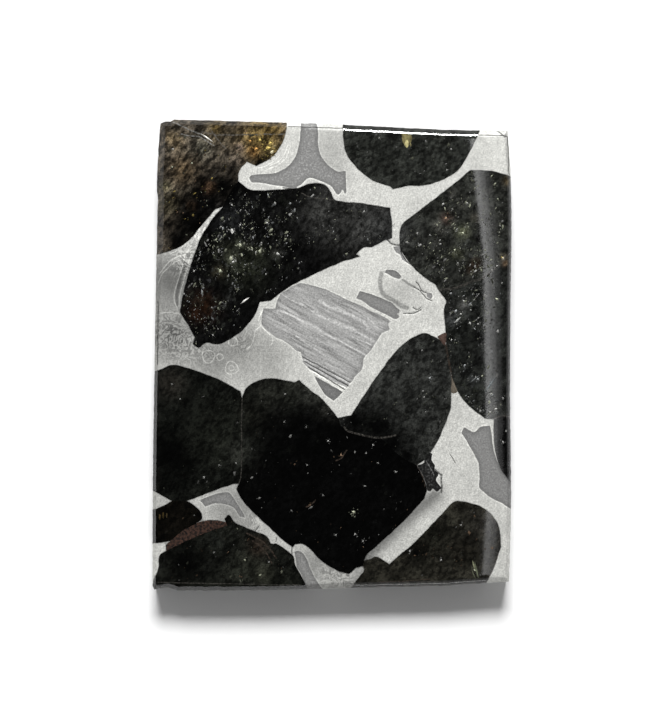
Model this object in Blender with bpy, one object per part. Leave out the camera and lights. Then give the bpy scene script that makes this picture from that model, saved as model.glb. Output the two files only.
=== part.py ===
"""A pallasite meteorite slice: dark olivine crystals held in nickel iron.

The slice is a sawn and polished slab with bevelled edges, lying on its back face.
Its polished front faces +Z. X runs along the short side and Y along the long side.
The outlines below are where the crystals end on the front face, in millimetres
from the middle of the slab. The walls of the crystals lean as they go down, so
the back face shows another cut through the same crystals.
"""

import math

import bmesh
import bpy
from mathutils import Vector

MM = 0.001

# Driving dimensions, in millimetres
THICKNESS = 4.0
BEVEL = 0.45
GAP = 0.3

# How far the grain boundaries lean from the front face to the back, the length
# over which the lean swings to and fro, and the width of the band inside the
# slab's rim where it fades out, in millimetres
LEAN = 1.0
LEAN_WAVE = 26.0
LEAN_FADE = 5.0
LEAN_PHASE = 0.6

# Half the slab's width and length over all, in millimetres
HALF_WIDTH = 18.0
HALF_LENGTH = 23.6

# Cutting columns run past both faces by this much, in millimetres
OVERRUN = 1.0

# Spacing of points along a smooth stretch of a crystal and of the slab's rim, in millimetres
STEP = 0.8
RIM_STEP = 6.0

# Points of an outline nearer to each other than this are one point, and corners
# of a mesh nearer than WELD are welded, in millimetres
SAME_POINT = 0.05
WELD = 0.01

# Faces at less than this angle to each other are joined in one, in radians
FLAT = math.radians(0.1)

# Sharp corners of an offset outline reach out by at most this many offsets
LONGEST_MITRE = 1.8

# Each outline is a list of stretches. A stretch is a smooth curve through its
# points, and a straight line joins it to the next one, so corners lie between
# stretches. Crystals that end at the slab's rim run out past it.
SLAB = [
    [(-17.2, 23.2), (-16.7, 23.4), (-16.2, 23.4)],
    [(-15.8, 23.6), (-8.2, 23.4), (0.8, 23.1), (9.8, 22.65), (17.6, 22.45)],
    [(17.9, 18.5), (18.0, 13.0), (17.9, 5.5), (17.85, -4.5), (17.95, -14.5), (17.75, -22.7)],
    [(10.8, -23.15), (2.3, -23.35), (-8.2, -23.6), (-15.4, -23.6)],
    [(-16.4, -23.3), (-17.8, -23.5)],
    [(-18.0, -23.1), (-17.95, -11.5), (-17.8, -1.6), (-17.6, 9.5)],
    [(-17.45, 15.5), (-17.55, 17.0), (-17.4, 20.5), (-17.25, 22.9)],
]

# Stretches where two crystals touch, shared by both of their outlines
GOLD_AND_UPPER_LEFT = [(-9.4, 17.4), (-10.4, 15.9), (-10.9, 14.8)]
UPPER_RIGHT_AND_RIGHT = [
    (10.65, 6.5), (12.3, 6.7), (14.1, 7.4), (15.0, 7.65), (16.8, 9.1), (17.6, 10.1), (18.9, 11.6),
]
RIGHT_AND_RIGHT_EDGE = [(16.2, -6.4), (17.0, -6.1), (18.9, -6.3)]
RIGHT_AND_HEART_RIGHT = [(11.4, 1.0), (11.65, -0.5), (11.95, -2.1)]
HEART_RIGHT_AND_HEART_LEFT = [
    (0.6, -6.3), (1.1, -7.3), (2.6, -7.95), (4.8, -8.35), (6.8, -10.1), (8.5, -11.05),
]
LEFT_AND_HEART_LEFT = [(-9.0, -4.3), (-9.05, -7.5), (-9.05, -11.5), (-9.3, -12.9)]
LEFT_AND_LEFT_SMALL = [(-16.0, -14.6), (-14.5, -14.6)]
HEART_LEFT_AND_LOWER_RIGHT = [(3.2, -20.55), (3.1, -21.1)]
LEFT_SMALL_AND_RUST = [(-13.4, -16.75), (-14.9, -17.55), (-16.2, -18.6)]
RUST_AND_LOWER_LEFT = [(-16.6, -19.6), (-14.2, -18.45), (-12.7, -17.8), (-10.5, -17.05)]

CRYSTALS = {
    "olivine_gold_corner": [
        [(-4.5, 24.6), (-4.6, 22.5), (-5.1, 21.0), (-6.1, 19.7), (-7.6, 18.9)],
        [(-8.5, 19.35), (-9.3, 18.4), (-9.4, 17.4)],
        GOLD_AND_UPPER_LEFT,
        [(-11.6, 14.65), (-13.0, 13.0), (-14.5, 11.3), (-16.2, 10.4), (-19.0, 9.8)],
        [(-19.0, 24.6)],
    ],
    "olivine_upper_left": [
        [(-10.9, 14.8), (-11.8, 13.8), (-13.0, 12.0), (-13.7, 10.2), (-14.3, 8.4)],
        [(-14.3, 8.4), (-14.9, 6.0), (-15.2, 4.3)],
        [(-14.5, 3.2), (-13.7, 1.8)],
        [(-13.9, 1.1), (-13.3, 0.75), (-12.6, 1.2), (-11.1, 1.15), (-9.2, 2.3), (-7.8, 3.9), (-7.2, 5.3)],
        [(-6.2, 5.45), (-3.7, 7.15), (0.8, 9.25), (1.9, 9.6)],
        [(2.8, 9.85)],
        [(2.4, 10.1), (3.2, 10.75), (4.0, 10.8)],
        [(5.4, 11.5), (6.0, 11.7)],
        [(6.0, 13.1), (5.8, 14.7)],
        [(2.8, 15.2), (0.4, 15.45), (-0.1, 16.3), (-0.8, 17.05), (-2.1, 17.15), (-3.3, 16.7)],
        [(-5.0, 16.55), (-8.0, 16.5), (-9.4, 17.4)],
        GOLD_AND_UPPER_LEFT,
    ],
    "olivine_top": [
        [(1.1, 24.6), (1.1, 22.5), (1.3, 20.6), (2.1, 19.15), (3.9, 17.55), (5.9, 16.8)],
        [(6.1, 16.6), (7.6, 16.9), (9.9, 17.1), (12.5, 18.4), (13.9, 20.6), (14.8, 22.5), (15.8, 24.6)],
    ],
    "olivine_upper_right": [
        [(13.8, 18.45), (15.5, 18.45), (17.1, 18.1), (19.0, 17.4)],
        UPPER_RIGHT_AND_RIGHT[::-1],
        [(10.4, 6.95), (8.5, 8.4), (7.25, 9.9), (6.8, 10.9), (6.85, 12.7), (7.2, 13.3)],
        [(9.3, 14.85), (12.3, 17.2), (13.8, 18.45)],
    ],
    "olivine_right": [
        UPPER_RIGHT_AND_RIGHT,
        RIGHT_AND_RIGHT_EDGE[::-1],
        [(15.3, -6.35), (13.5, -4.9), (12.5, -3.5), (11.95, -2.1)],
        RIGHT_AND_HEART_RIGHT[::-1],
        [(11.4, 2.1), (11.2, 4.5), (11.4, 5.4), (10.65, 6.5)],
    ],
    "olivine_right_edge": [
        RIGHT_AND_RIGHT_EDGE,
        [(19.0, -13.8), (17.75, -12.55), (16.75, -11.1), (16.3, -9.3), (16.2, -7.7), (16.2, -6.4)],
    ],
    "olivine_heart_right": [
        [(0.6, -6.3), (1.9, -6.05)],
        [(4.1, -2.7), (6.0, -0.1), (7.6, 1.45), (9.2, 2.15), (10.6, 1.6), (11.4, 1.0)],
        RIGHT_AND_HEART_RIGHT,
        [(11.9, -3.6), (11.8, -5.5), (10.7, -8.3), (9.6, -10.1), (8.5, -11.05)],
        HEART_RIGHT_AND_HEART_LEFT[::-1],
    ],
    "olivine_heart_left": [
        [(-9.0, -4.3), (-8.6, -3.4), (-7.6, -2.65), (-6.0, -2.35), (-3.7, -2.75)],
        [(-3.3, -2.5), (-2.3, -3.4), (-1.1, -4.3), (-0.2, -5.3), (0.6, -6.3)],
        HEART_RIGHT_AND_HEART_LEFT,
        [(9.1, -12.1), (9.5, -13.5)],
        [(9.2, -14.4), (7.0, -16.75), (4.6, -18.95), (3.5, -19.95), (3.2, -20.55)],
        HEART_LEFT_AND_LOWER_RIGHT,
        [(2.4, -21.3), (1.7, -21.9)],
        [(0.6, -21.6), (-0.7, -20.85), (-2.0, -19.6), (-2.8, -18.95), (-3.7, -18.95)],
        [(-3.9, -19.25), (-5.1, -18.35), (-6.3, -17.2), (-8.2, -15.4), (-9.1, -14.3), (-9.55, -13.4)],
        LEFT_AND_HEART_LEFT[::-1],
    ],
    "olivine_left": [
        [(-19.0, -1.9), (-17.2, -1.5), (-15.9, -1.0), (-14.0, -1.45), (-11.2, -2.5), (-9.2, -3.6)],
        LEFT_AND_HEART_LEFT,
        [(-9.9, -12.9), (-12.0, -13.65), (-14.5, -14.6)],
        LEFT_AND_LEFT_SMALL[::-1],
        [(-16.9, -14.1), (-19.0, -12.9)],
    ],
    "olivine_left_small": [
        [(-19.0, -16.2), (-17.9, -15.55), (-16.9, -15.1), (-16.0, -14.6)],
        LEFT_AND_LEFT_SMALL,
        [(-13.9, -14.95), (-13.2, -15.6), (-13.0, -16.4), (-13.4, -16.75)],
        LEFT_SMALL_AND_RUST,
        [(-17.1, -18.75), (-19.0, -18.95)],
    ],
    "olivine_lower_left": [
        RUST_AND_LOWER_LEFT,
        [(-10.75, -16.4), (-10.3, -15.95), (-9.85, -16.6)],
        [(-9.6, -16.85), (-7.8, -17.6), (-6.6, -18.1), (-6.1, -18.85), (-5.6, -18.85)],
        [(-4.9, -19.25), (-3.9, -20.1), (-3.7, -20.9), (-3.0, -22.3), (-2.6, -23.2), (-2.2, -24.8)],
        [(-18.4, -24.8), (-17.9, -22.8), (-17.35, -21.3), (-17.25, -20.1), (-16.6, -19.6)],
    ],
    "olivine_lower_right": [
        [(1.0, -24.8), (2.5, -22.5), (3.2, -21.6), (3.1, -21.1)],
        HEART_LEFT_AND_LOWER_RIGHT[::-1],
        [(3.9, -20.4), (4.5, -20.15), (5.7, -20.95)],
        [(6.9, -19.85), (8.2, -18.8), (10.8, -16.1), (11.9, -14.9), (12.5, -14.6)],
        [(13.5, -14.7), (14.9, -15.2), (16.0, -16.05), (16.7, -17.3), (16.9, -19.2)],
        [(16.9, -19.2), (15.9, -21.9), (14.2, -24.8)],
    ],
}

RUST_SEAM = [
    LEFT_SMALL_AND_RUST,
    [(-16.6, -19.0)],
    RUST_AND_LOWER_LEFT,
    [(-10.5, -16.75), (-12.0, -16.5), (-13.4, -16.75)],
]

# A place on or near the rim of each island of metal, in millimetres on the front face
METAL = {
    "metal_web": (2.0, 5.0),
    "metal_lower_left": (-7.0, -19.0),
    "metal_left_wedge": (-17.0, -14.6),
    "metal_left_corner": (-17.3, -19.6),
    "metal_lower_right": (15.0, -10.0),
}

SLAB_NAME = "pallasite_slice"


def smooth_stretch(corners, step):
    """Points about a step apart on a Catmull-Rom curve through a stretch's points, ends kept."""
    points = [Vector(corner) for corner in corners]
    if len(points) < 3:
        return points
    padded = [2 * points[0] - points[1], *points, 2 * points[-1] - points[-2]]
    curve = [points[0]]
    for a, b, c, d in zip(padded, padded[1:], padded[2:], padded[3:]):
        pieces = max(1, round((c - b).length / step))
        for i in range(1, pieces + 1):
            t = i / pieces
            bend = (2 * a - 5 * b + 4 * c - d) * t**2 + (3 * b - a - 3 * c + d) * t**3
            curve.append(b + (c - a) * t / 2 + bend / 2)
    return curve


def closed_outline(stretches, step=STEP):
    """One anticlockwise ring of points, in millimetres, with doubled ends dropped."""
    ring = []
    for corners in stretches:
        for point in smooth_stretch(corners, step):
            if not ring or (point - ring[-1]).length > SAME_POINT:
                ring.append(point)
    if (ring[0] - ring[-1]).length < SAME_POINT:
        ring.pop()
    area = sum(a.cross(b) for a, b in zip(ring, ring[1:] + ring[:1]))
    return ring if area > 0 else ring[::-1]


def offset_outline(ring, distance):
    """The ring moved outwards by a distance, or inwards by a negative one."""
    moved = []
    for before, point, after in zip(ring[-1:] + ring, ring, ring[1:] + ring[:1]):
        way_in = (point - before).normalized()
        way_out = (after - point).normalized()
        outwards = Vector((way_in.y + way_out.y, -way_in.x - way_out.x))
        mitre = min(2 / max(outwards.length, SAME_POINT), LONGEST_MITRE)
        moved.append(point + outwards.normalized() * mitre * distance)
    return moved


def fade(distance):
    """From 0 at the rim to 1 at LEAN_FADE inside it, with a smooth start and end."""
    share = min(max(distance / LEAN_FADE, 0), 1)
    return share * share * (3 - 2 * share)


def leaned(x, y, depth):
    """Where a grain boundary at x, y on the front lies at a depth below it, in millimetres."""
    reach = LEAN * depth / THICKNESS
    turn = 2 * math.pi / LEAN_WAVE
    return (
        x + reach * math.sin(turn * y + LEAN_PHASE) * fade(HALF_WIDTH - abs(x)),
        y + reach * math.cos(turn * x) * fade(HALF_LENGTH - abs(y)),
    )


def new_object(name, mesh, collection, material=None):
    """An object in a collection, with one material."""
    made = bpy.data.objects.new(name, mesh)
    collection.objects.link(made)
    if material:
        mesh.materials.append(material)
    return made


def as_mesh(source, name):
    """A mesh of an object as its modifiers leave it."""
    evaluated = source.evaluated_get(bpy.context.evaluated_depsgraph_get())
    mesh = bpy.data.meshes.new_from_object(evaluated)
    mesh.name = name
    return mesh


def plate_mesh(name, ring, thickness, middle, bevel=0.0):
    """A plate with a flat outline, made as a filled 2D curve, as a welded mesh in metres."""
    curve = bpy.data.curves.new(name, "CURVE")
    curve.dimensions = "2D"
    curve.fill_mode = "BOTH"
    curve.resolution_u = 1
    curve.extrude = (thickness / 2 - bevel) * MM
    curve.bevel_depth = bevel * MM
    curve.bevel_resolution = 0
    curve.offset = -bevel * MM
    spline = curve.splines.new("POLY")
    spline.points.add(len(ring) - 1)
    for point, place in zip(spline.points, ring):
        point.co = (place.x * MM, place.y * MM, 0, 1)
    spline.use_cyclic_u = True
    guide = bpy.data.objects.new(name, curve)
    bpy.context.scene.collection.objects.link(guide)
    bpy.context.view_layer.update()
    mesh = as_mesh(guide, name)
    bpy.data.objects.remove(guide)
    work = bmesh.new()
    work.from_mesh(mesh)
    bmesh.ops.remove_doubles(work, verts=work.verts, dist=WELD * MM)
    bmesh.ops.dissolve_limit(work, verts=work.verts, edges=work.edges, angle_limit=FLAT)
    bmesh.ops.translate(work, verts=work.verts, vec=(0, 0, middle * MM))
    bmesh.ops.recalc_face_normals(work, faces=work.faces)
    work.to_mesh(mesh)
    work.free()
    return mesh


def column_mesh(name, ring):
    """A column through the slab under a ring on the front face, with leaning walls."""
    mesh = plate_mesh(name, ring, THICKNESS + 2 * OVERRUN, THICKNESS / 2)
    for vertex in mesh.vertices:
        x, y, z = vertex.co / MM
        x, y = leaned(x, y, THICKNESS - z)
        vertex.co.x = x * MM
        vertex.co.y = y * MM
    return mesh


def cutter(name, mesh, collection):
    """A hidden guide for the Booleans."""
    made = new_object(name, mesh, collection)
    made.display_type = "WIRE"
    made.hide_render = True
    return made


def add_boolean(target, operation, other):
    """One exact Boolean modifier, with an object or with all of a collection."""
    modifier = target.modifiers.new(operation.title(), "BOOLEAN")
    modifier.operation = operation
    modifier.solver = "EXACT"
    if isinstance(other, bpy.types.Collection):
        modifier.operand_type = "COLLECTION"
        modifier.collection = other
    else:
        modifier.object = other


def principled(name, colour, roughness, metallic, coat=0.0):
    """A plain Principled material."""
    material = bpy.data.materials.new(name)
    material.use_nodes = True
    shader = material.node_tree.nodes["Principled BSDF"]
    shader.inputs["Base Color"].default_value = (*colour, 1.0)
    shader.inputs["Roughness"].default_value = roughness
    shader.inputs["Metallic"].default_value = metallic
    shader.inputs["Coat Weight"].default_value = coat
    return material


def olivine_material():
    """Dark, glassy olivine."""
    return principled("olivine", (0.03, 0.03, 0.024), 0.12, 0.0, coat=0.5)


def gold_olivine_material():
    """The browner, more open olivine of the gold corner."""
    return principled("olivine_gold", (0.09, 0.065, 0.03), 0.15, 0.0, coat=0.5)


def metal_material():
    """Polished and etched nickel iron."""
    return principled("nickel_iron", (0.66, 0.65, 0.63), 0.32, 1.0)


def rust_material():
    """The dark red-brown seam of iron sulphide and rust."""
    return principled("rust", (0.06, 0.03, 0.022), 0.55, 0.0)


def make_grain(name, ring, blank, parts, sockets, material):
    """One crystal, a leaning column trimmed to the slab, and its socket in the metal."""
    column = column_mesh(name, offset_outline(ring, -GAP / 2))
    grain = new_object(name, column, parts, material)
    add_boolean(grain, "INTERSECT", blank)
    socket = name + "_socket"
    cutter(socket, column_mesh(socket, offset_outline(ring, GAP / 2)), sockets)


def make_metal(blank, sockets, parts, material):
    """What the crystals leave of the slab, one object for each separate island."""
    body = new_object("metal", blank.data.copy(), parts, material)
    add_boolean(body, "DIFFERENCE", sockets)
    bpy.context.view_layer.update()
    mesh = as_mesh(body, "metal")
    bpy.data.objects.remove(body)
    body = new_object("metal", mesh, parts)
    for other in bpy.context.view_layer.objects:
        other.select_set(other is body)
    bpy.context.view_layer.objects.active = body
    bpy.ops.mesh.separate(type="LOOSE")
    for island in list(bpy.context.selected_objects):
        name = min(METAL, key=lambda name: distance_to(island, METAL[name]))
        island.name = name
        island.data.name = name


def distance_to(made, spot):
    """How near an object's corners come to a spot, seen from above."""
    return min((vertex.co.xy - Vector(spot) * MM).length for vertex in made.data.vertices)


def main():
    for old in list(bpy.data.objects):
        bpy.data.objects.remove(old)
    parts, guides, sockets = (bpy.data.collections.new(name) for name in (SLAB_NAME, "blank", "sockets"))
    for collection in (parts, guides, sockets):
        bpy.context.scene.collection.children.link(collection)

    slab = plate_mesh("slab_blank", closed_outline(SLAB, RIM_STEP), THICKNESS, THICKNESS / 2, BEVEL)
    blank = cutter("slab_blank", slab, guides)

    materials = {"olivine": olivine_material(), "gold": gold_olivine_material(), "rust": rust_material()}
    for name, stretches in CRYSTALS.items():
        material = materials["gold" if "gold" in name else "olivine"]
        make_grain(name, closed_outline(stretches), blank, parts, sockets, material)
    make_grain("rust_seam", closed_outline(RUST_SEAM), blank, parts, sockets, materials["rust"])

    make_metal(blank, sockets, parts, metal_material())


main()
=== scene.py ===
"""The looks of the pallasite slice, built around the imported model.

Every solid of the model is replaced by a finer one of the same shape. The slab is
drawn once, as a plan seen from above, in millimetres from its middle, and cut in
triangles along the outlines of the crystals and of the marks in the metal. Each
piece is the part of that plan inside its outline, carried down to the back face.
How far a corner is from each mark is kept on the mesh, and the materials draw the
marks from those distances.
"""

import math

import bpy
import numpy as np
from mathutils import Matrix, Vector, noise
from mathutils.geometry import delaunay_2d_cdt
from mathutils.kdtree import KDTree


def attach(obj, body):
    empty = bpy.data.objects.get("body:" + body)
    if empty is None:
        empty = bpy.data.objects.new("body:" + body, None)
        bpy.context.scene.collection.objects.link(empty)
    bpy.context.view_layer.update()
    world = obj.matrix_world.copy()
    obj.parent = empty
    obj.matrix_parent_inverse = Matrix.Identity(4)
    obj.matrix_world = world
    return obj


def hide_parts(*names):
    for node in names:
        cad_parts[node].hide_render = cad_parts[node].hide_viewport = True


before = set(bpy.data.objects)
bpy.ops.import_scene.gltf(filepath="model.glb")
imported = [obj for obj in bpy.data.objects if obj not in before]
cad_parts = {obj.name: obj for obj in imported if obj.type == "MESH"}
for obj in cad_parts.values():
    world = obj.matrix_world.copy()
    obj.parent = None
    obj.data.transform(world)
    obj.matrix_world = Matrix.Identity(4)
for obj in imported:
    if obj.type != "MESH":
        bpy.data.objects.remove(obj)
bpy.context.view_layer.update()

MM = 0.001

# The slab's thickness, in millimetres, as in the part
THICKNESS = 4.0
# How far walls between pieces lean from front to back, over what length that goes in waves, and how
# far in from the rim it is less, in millimetres, and where in a wave it starts, as in the part
LEAN = 1.0
LEAN_WAVE = 26.0
LEAN_FADE = 5.0
LEAN_PHASE = 0.6

# Each outline is a list of stretches, in millimetres from the slab's middle. A stretch is a smooth
# curve through its points, and a straight line joins it to the next one, so corners lie between
# stretches. Crystals that end at the slab's rim run out past it.
SLAB = [
    [(-17.2, 23.2), (-16.7, 23.4), (-16.2, 23.4)],
    [(-15.8, 23.6), (-8.2, 23.4), (0.8, 23.1), (9.8, 22.65), (17.6, 22.45)],
    [(17.9, 18.5), (18.0, 13.0), (17.9, 5.5), (17.85, -4.5), (17.95, -14.5), (17.75, -22.7)],
    [(10.8, -23.15), (2.3, -23.35), (-8.2, -23.6), (-15.4, -23.6)],
    [(-16.4, -23.3), (-17.8, -23.5)],
    [(-18.0, -23.1), (-17.95, -11.5), (-17.8, -1.6), (-17.6, 9.5)],
    [(-17.45, 15.5), (-17.55, 17.0), (-17.4, 20.5), (-17.25, 22.9)],
]

# Stretches where two crystals, or a crystal and the rust, touch, shared by both of their outlines
GOLD_AND_UPPER_LEFT = [(-9.4, 17.4), (-10.4, 15.9), (-10.9, 14.8)]
UPPER_RIGHT_AND_RIGHT = [
    (10.65, 6.5), (12.3, 6.7), (14.1, 7.4), (15.0, 7.65), (16.8, 9.1), (17.6, 10.1), (18.9, 11.6),
]
RIGHT_AND_RIGHT_EDGE = [(16.2, -6.4), (17.0, -6.1), (18.9, -6.3)]
RIGHT_AND_HEART_RIGHT = [(11.4, 1.0), (11.65, -0.5), (11.95, -2.1)]
HEART_RIGHT_AND_HEART_LEFT = [
    (0.6, -6.3), (1.1, -7.3), (2.6, -7.95), (4.8, -8.35), (6.8, -10.1), (8.5, -11.05),
]
LEFT_AND_HEART_LEFT = [(-9.0, -4.3), (-9.05, -7.5), (-9.05, -11.5), (-9.3, -12.9)]
LEFT_AND_LEFT_SMALL = [(-16.0, -14.6), (-14.5, -14.6)]
HEART_LEFT_AND_LOWER_RIGHT = [(3.2, -20.55), (3.1, -21.1)]
LEFT_SMALL_AND_RUST = [(-13.4, -16.75), (-14.9, -17.55), (-16.2, -18.6)]
RUST_AND_LOWER_LEFT = [(-16.6, -19.6), (-14.2, -18.45), (-12.7, -17.8), (-10.5, -17.05)]

CRYSTALS = {
    "olivine_gold_corner": [
        [(-4.5, 24.6), (-4.6, 22.5), (-5.1, 21.0), (-6.1, 19.7), (-7.6, 18.9)],
        [(-8.5, 19.35), (-9.3, 18.4), (-9.4, 17.4)],
        GOLD_AND_UPPER_LEFT,
        [(-11.6, 14.65), (-13.0, 13.0), (-14.5, 11.3), (-16.2, 10.4), (-19.0, 9.8)],
        [(-19.0, 24.6)],
    ],
    "olivine_upper_left": [
        [(-10.9, 14.8), (-11.8, 13.8), (-13.0, 12.0), (-13.7, 10.2), (-14.3, 8.4)],
        [(-14.3, 8.4), (-14.9, 6.0), (-15.2, 4.3)],
        [(-14.5, 3.2), (-13.7, 1.8)],
        [(-13.9, 1.1), (-13.3, 0.75), (-12.6, 1.2), (-11.1, 1.15), (-9.2, 2.3), (-7.8, 3.9), (-7.2, 5.3)],
        [(-6.2, 5.45), (-3.7, 7.15), (0.8, 9.25), (1.9, 9.6)],
        [(2.8, 9.85)],
        [(2.4, 10.1), (3.2, 10.75), (4.0, 10.8)],
        [(5.4, 11.5), (6.0, 11.7)],
        [(6.0, 13.1), (5.8, 14.7)],
        [(2.8, 15.2), (0.4, 15.45), (-0.1, 16.3), (-0.8, 17.05), (-2.1, 17.15), (-3.3, 16.7)],
        [(-5.0, 16.55), (-8.0, 16.5), (-9.4, 17.4)],
        GOLD_AND_UPPER_LEFT,
    ],
    "olivine_top": [
        [(1.1, 24.6), (1.1, 22.5), (1.3, 20.6), (2.1, 19.15), (3.9, 17.55), (5.9, 16.8)],
        [(6.1, 16.6), (7.6, 16.9), (9.9, 17.1), (12.5, 18.4), (13.9, 20.6), (14.8, 22.5), (15.8, 24.6)],
    ],
    "olivine_upper_right": [
        [(13.8, 18.45), (15.5, 18.45), (17.1, 18.1), (19.0, 17.4)],
        UPPER_RIGHT_AND_RIGHT[::-1],
        [(10.4, 6.95), (8.5, 8.4), (7.25, 9.9), (6.8, 10.9), (6.85, 12.7), (7.2, 13.3)],
        [(9.3, 14.85), (12.3, 17.2), (13.8, 18.45)],
    ],
    "olivine_right": [
        UPPER_RIGHT_AND_RIGHT,
        RIGHT_AND_RIGHT_EDGE[::-1],
        [(15.3, -6.35), (13.5, -4.9), (12.5, -3.5), (11.95, -2.1)],
        RIGHT_AND_HEART_RIGHT[::-1],
        [(11.4, 2.1), (11.2, 4.5), (11.4, 5.4), (10.65, 6.5)],
    ],
    "olivine_right_edge": [
        RIGHT_AND_RIGHT_EDGE,
        [(19.0, -13.8), (17.75, -12.55), (16.75, -11.1), (16.3, -9.3), (16.2, -7.7), (16.2, -6.4)],
    ],
    "olivine_heart_right": [
        [(0.6, -6.3), (1.9, -6.05)],
        [(4.1, -2.7), (6.0, -0.1), (7.6, 1.45), (9.2, 2.15), (10.6, 1.6), (11.4, 1.0)],
        RIGHT_AND_HEART_RIGHT,
        [(11.9, -3.6), (11.8, -5.5), (10.7, -8.3), (9.6, -10.1), (8.5, -11.05)],
        HEART_RIGHT_AND_HEART_LEFT[::-1],
    ],
    "olivine_heart_left": [
        [(-9.0, -4.3), (-8.6, -3.4), (-7.6, -2.65), (-6.0, -2.35), (-3.7, -2.75)],
        [(-3.3, -2.5), (-2.3, -3.4), (-1.1, -4.3), (-0.2, -5.3), (0.6, -6.3)],
        HEART_RIGHT_AND_HEART_LEFT,
        [(9.1, -12.1), (9.5, -13.5)],
        [(9.2, -14.4), (7.0, -16.75), (4.6, -18.95), (3.5, -19.95), (3.2, -20.55)],
        HEART_LEFT_AND_LOWER_RIGHT,
        [(2.4, -21.3), (1.7, -21.9)],
        [(0.6, -21.6), (-0.7, -20.85), (-2.0, -19.6), (-2.8, -18.95), (-3.7, -18.95)],
        [(-3.9, -19.25), (-5.1, -18.35), (-6.3, -17.2), (-8.2, -15.4), (-9.1, -14.3), (-9.55, -13.4)],
        LEFT_AND_HEART_LEFT[::-1],
    ],
    "olivine_left": [
        [(-19.0, -1.9), (-17.2, -1.5), (-15.9, -1.0), (-14.0, -1.45), (-11.2, -2.5), (-9.2, -3.6)],
        LEFT_AND_HEART_LEFT,
        [(-9.9, -12.9), (-12.0, -13.65), (-14.5, -14.6)],
        LEFT_AND_LEFT_SMALL[::-1],
        [(-16.9, -14.1), (-19.0, -12.9)],
    ],
    "olivine_left_small": [
        [(-19.0, -16.2), (-17.9, -15.55), (-16.9, -15.1), (-16.0, -14.6)],
        LEFT_AND_LEFT_SMALL,
        [(-13.9, -14.95), (-13.2, -15.6), (-13.0, -16.4), (-13.4, -16.75)],
        LEFT_SMALL_AND_RUST,
        [(-17.1, -18.75), (-19.0, -18.95)],
    ],
    "olivine_lower_left": [
        RUST_AND_LOWER_LEFT,
        [(-10.75, -16.4), (-10.3, -15.95), (-9.85, -16.6)],
        [(-9.6, -16.85), (-7.8, -17.6), (-6.6, -18.1), (-6.1, -18.85), (-5.6, -18.85)],
        [(-4.9, -19.25), (-3.9, -20.1), (-3.7, -20.9), (-3.0, -22.3), (-2.6, -23.2), (-2.2, -24.8)],
        [(-18.4, -24.8), (-17.9, -22.8), (-17.35, -21.3), (-17.25, -20.1), (-16.6, -19.6)],
    ],
    "olivine_lower_right": [
        [(1.0, -24.8), (2.5, -22.5), (3.2, -21.6), (3.1, -21.1)],
        HEART_LEFT_AND_LOWER_RIGHT[::-1],
        [(3.9, -20.4), (4.5, -20.15), (5.7, -20.95)],
        [(6.9, -19.85), (8.2, -18.8), (10.8, -16.1), (11.9, -14.9), (12.5, -14.6)],
        [(13.5, -14.7), (14.9, -15.2), (16.0, -16.05), (16.7, -17.3), (16.9, -19.2)],
        [(16.9, -19.2), (15.9, -21.9), (14.2, -24.8)],
    ],
}

RUST_SEAM = [
    LEFT_SMALL_AND_RUST,
    [(-16.6, -19.0)],
    RUST_AND_LOWER_LEFT,
    [(-10.5, -16.75), (-12.0, -16.5), (-13.4, -16.75)],
]

# A place in or near each island of metal
METAL = {
    "metal_web": (2.0, 5.0),
    "metal_lower_left": (-7.0, -19.0),
    "metal_left_wedge": (-17.0, -14.6),
    "metal_left_corner": (-17.3, -19.6),
    "metal_lower_right": (15.0, -10.0),
}

# Grey fields in the metal, of fine grained plessite or damaged metal
TEE_FIELD = [
    [(-3.1, 23.7), (-1.8, 23.7)],
    [(-1.4, 22.75), (-1.35, 21.0), (-1.1, 19.9), (-0.5, 19.15), (0.4, 18.4), (1.4, 18.4)],
    [(1.45, 16.35), (1.3, 16.0)],
    [(1.15, 16.4), (1.0, 16.5), (0.8, 16.1), (0.6, 16.0), (0.3, 16.3), (0.0, 16.8)],
    [(-0.3, 17.0), (-0.9, 17.3), (-1.4, 17.5), (-2.0, 17.7), (-2.5, 17.6), (-3.1, 17.0)],
    [(-3.5, 16.85), (-3.5, 16.45)],
    [(-4.4, 16.75), (-6.4, 17.1), (-7.65, 17.25), (-8.05, 17.3), (-8.3, 17.7), (-8.05, 18.0)],
    [(-7.0, 18.1), (-5.7, 18.2), (-4.8, 18.6), (-4.05, 19.25), (-3.55, 20.1), (-3.25, 21.3), (-3.15, 22.65)],
]
STRIPED_FIELD = [
    [(-5.1, 6.2), (-3.5, 7.1), (-2.95, 7.2), (-2.05, 7.0), (-0.7, 6.6), (0.2, 6.2), (1.56, 5.5)],
    [(2.7, 5.05), (3.85, 4.45), (5.0, 3.9), (6.0, 3.35)],
    [(5.6, 3.2), (5.7, 2.8), (5.9, 2.55)],
    [(5.0, 2.2), (4.5, 1.4), (3.9, 0.5), (3.2, -0.3), (3.0, -1.4), (2.3, -2.2), (1.45, -3.3)],
    [(-2.2, -1.5), (-2.95, -0.7)],
    [(-3.1, 0.3), (-3.5, 0.4), (-4.2, 1.0), (-5.0, 1.5), (-5.8, 1.9), (-6.8, 2.7), (-7.05, 3.05)],
    [(-7.0, 3.9), (-6.9, 4.65)],
    [(-5.65, 4.65), (-5.55, 5.3), (-5.1, 6.2)],
]
BLADE_FIELD = [
    [(2.8, 6.4), (4.2, 6.0), (5.1, 5.6), (5.85, 5.3), (6.45, 4.8), (6.9, 4.4)],
    [(6.5, 4.1), (6.8, 3.85), (6.4, 3.55)],
    [(6.15, 3.6), (5.4, 4.05), (4.6, 4.4), (3.7, 4.9), (3.1, 5.35), (2.4, 5.7)],
]
CORNER_FIELD = [[(-1.85, -2.0), (1.1, -3.7)], [(0.2, -4.6), (-0.65, -4.0), (-1.35, -3.0)]]
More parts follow.
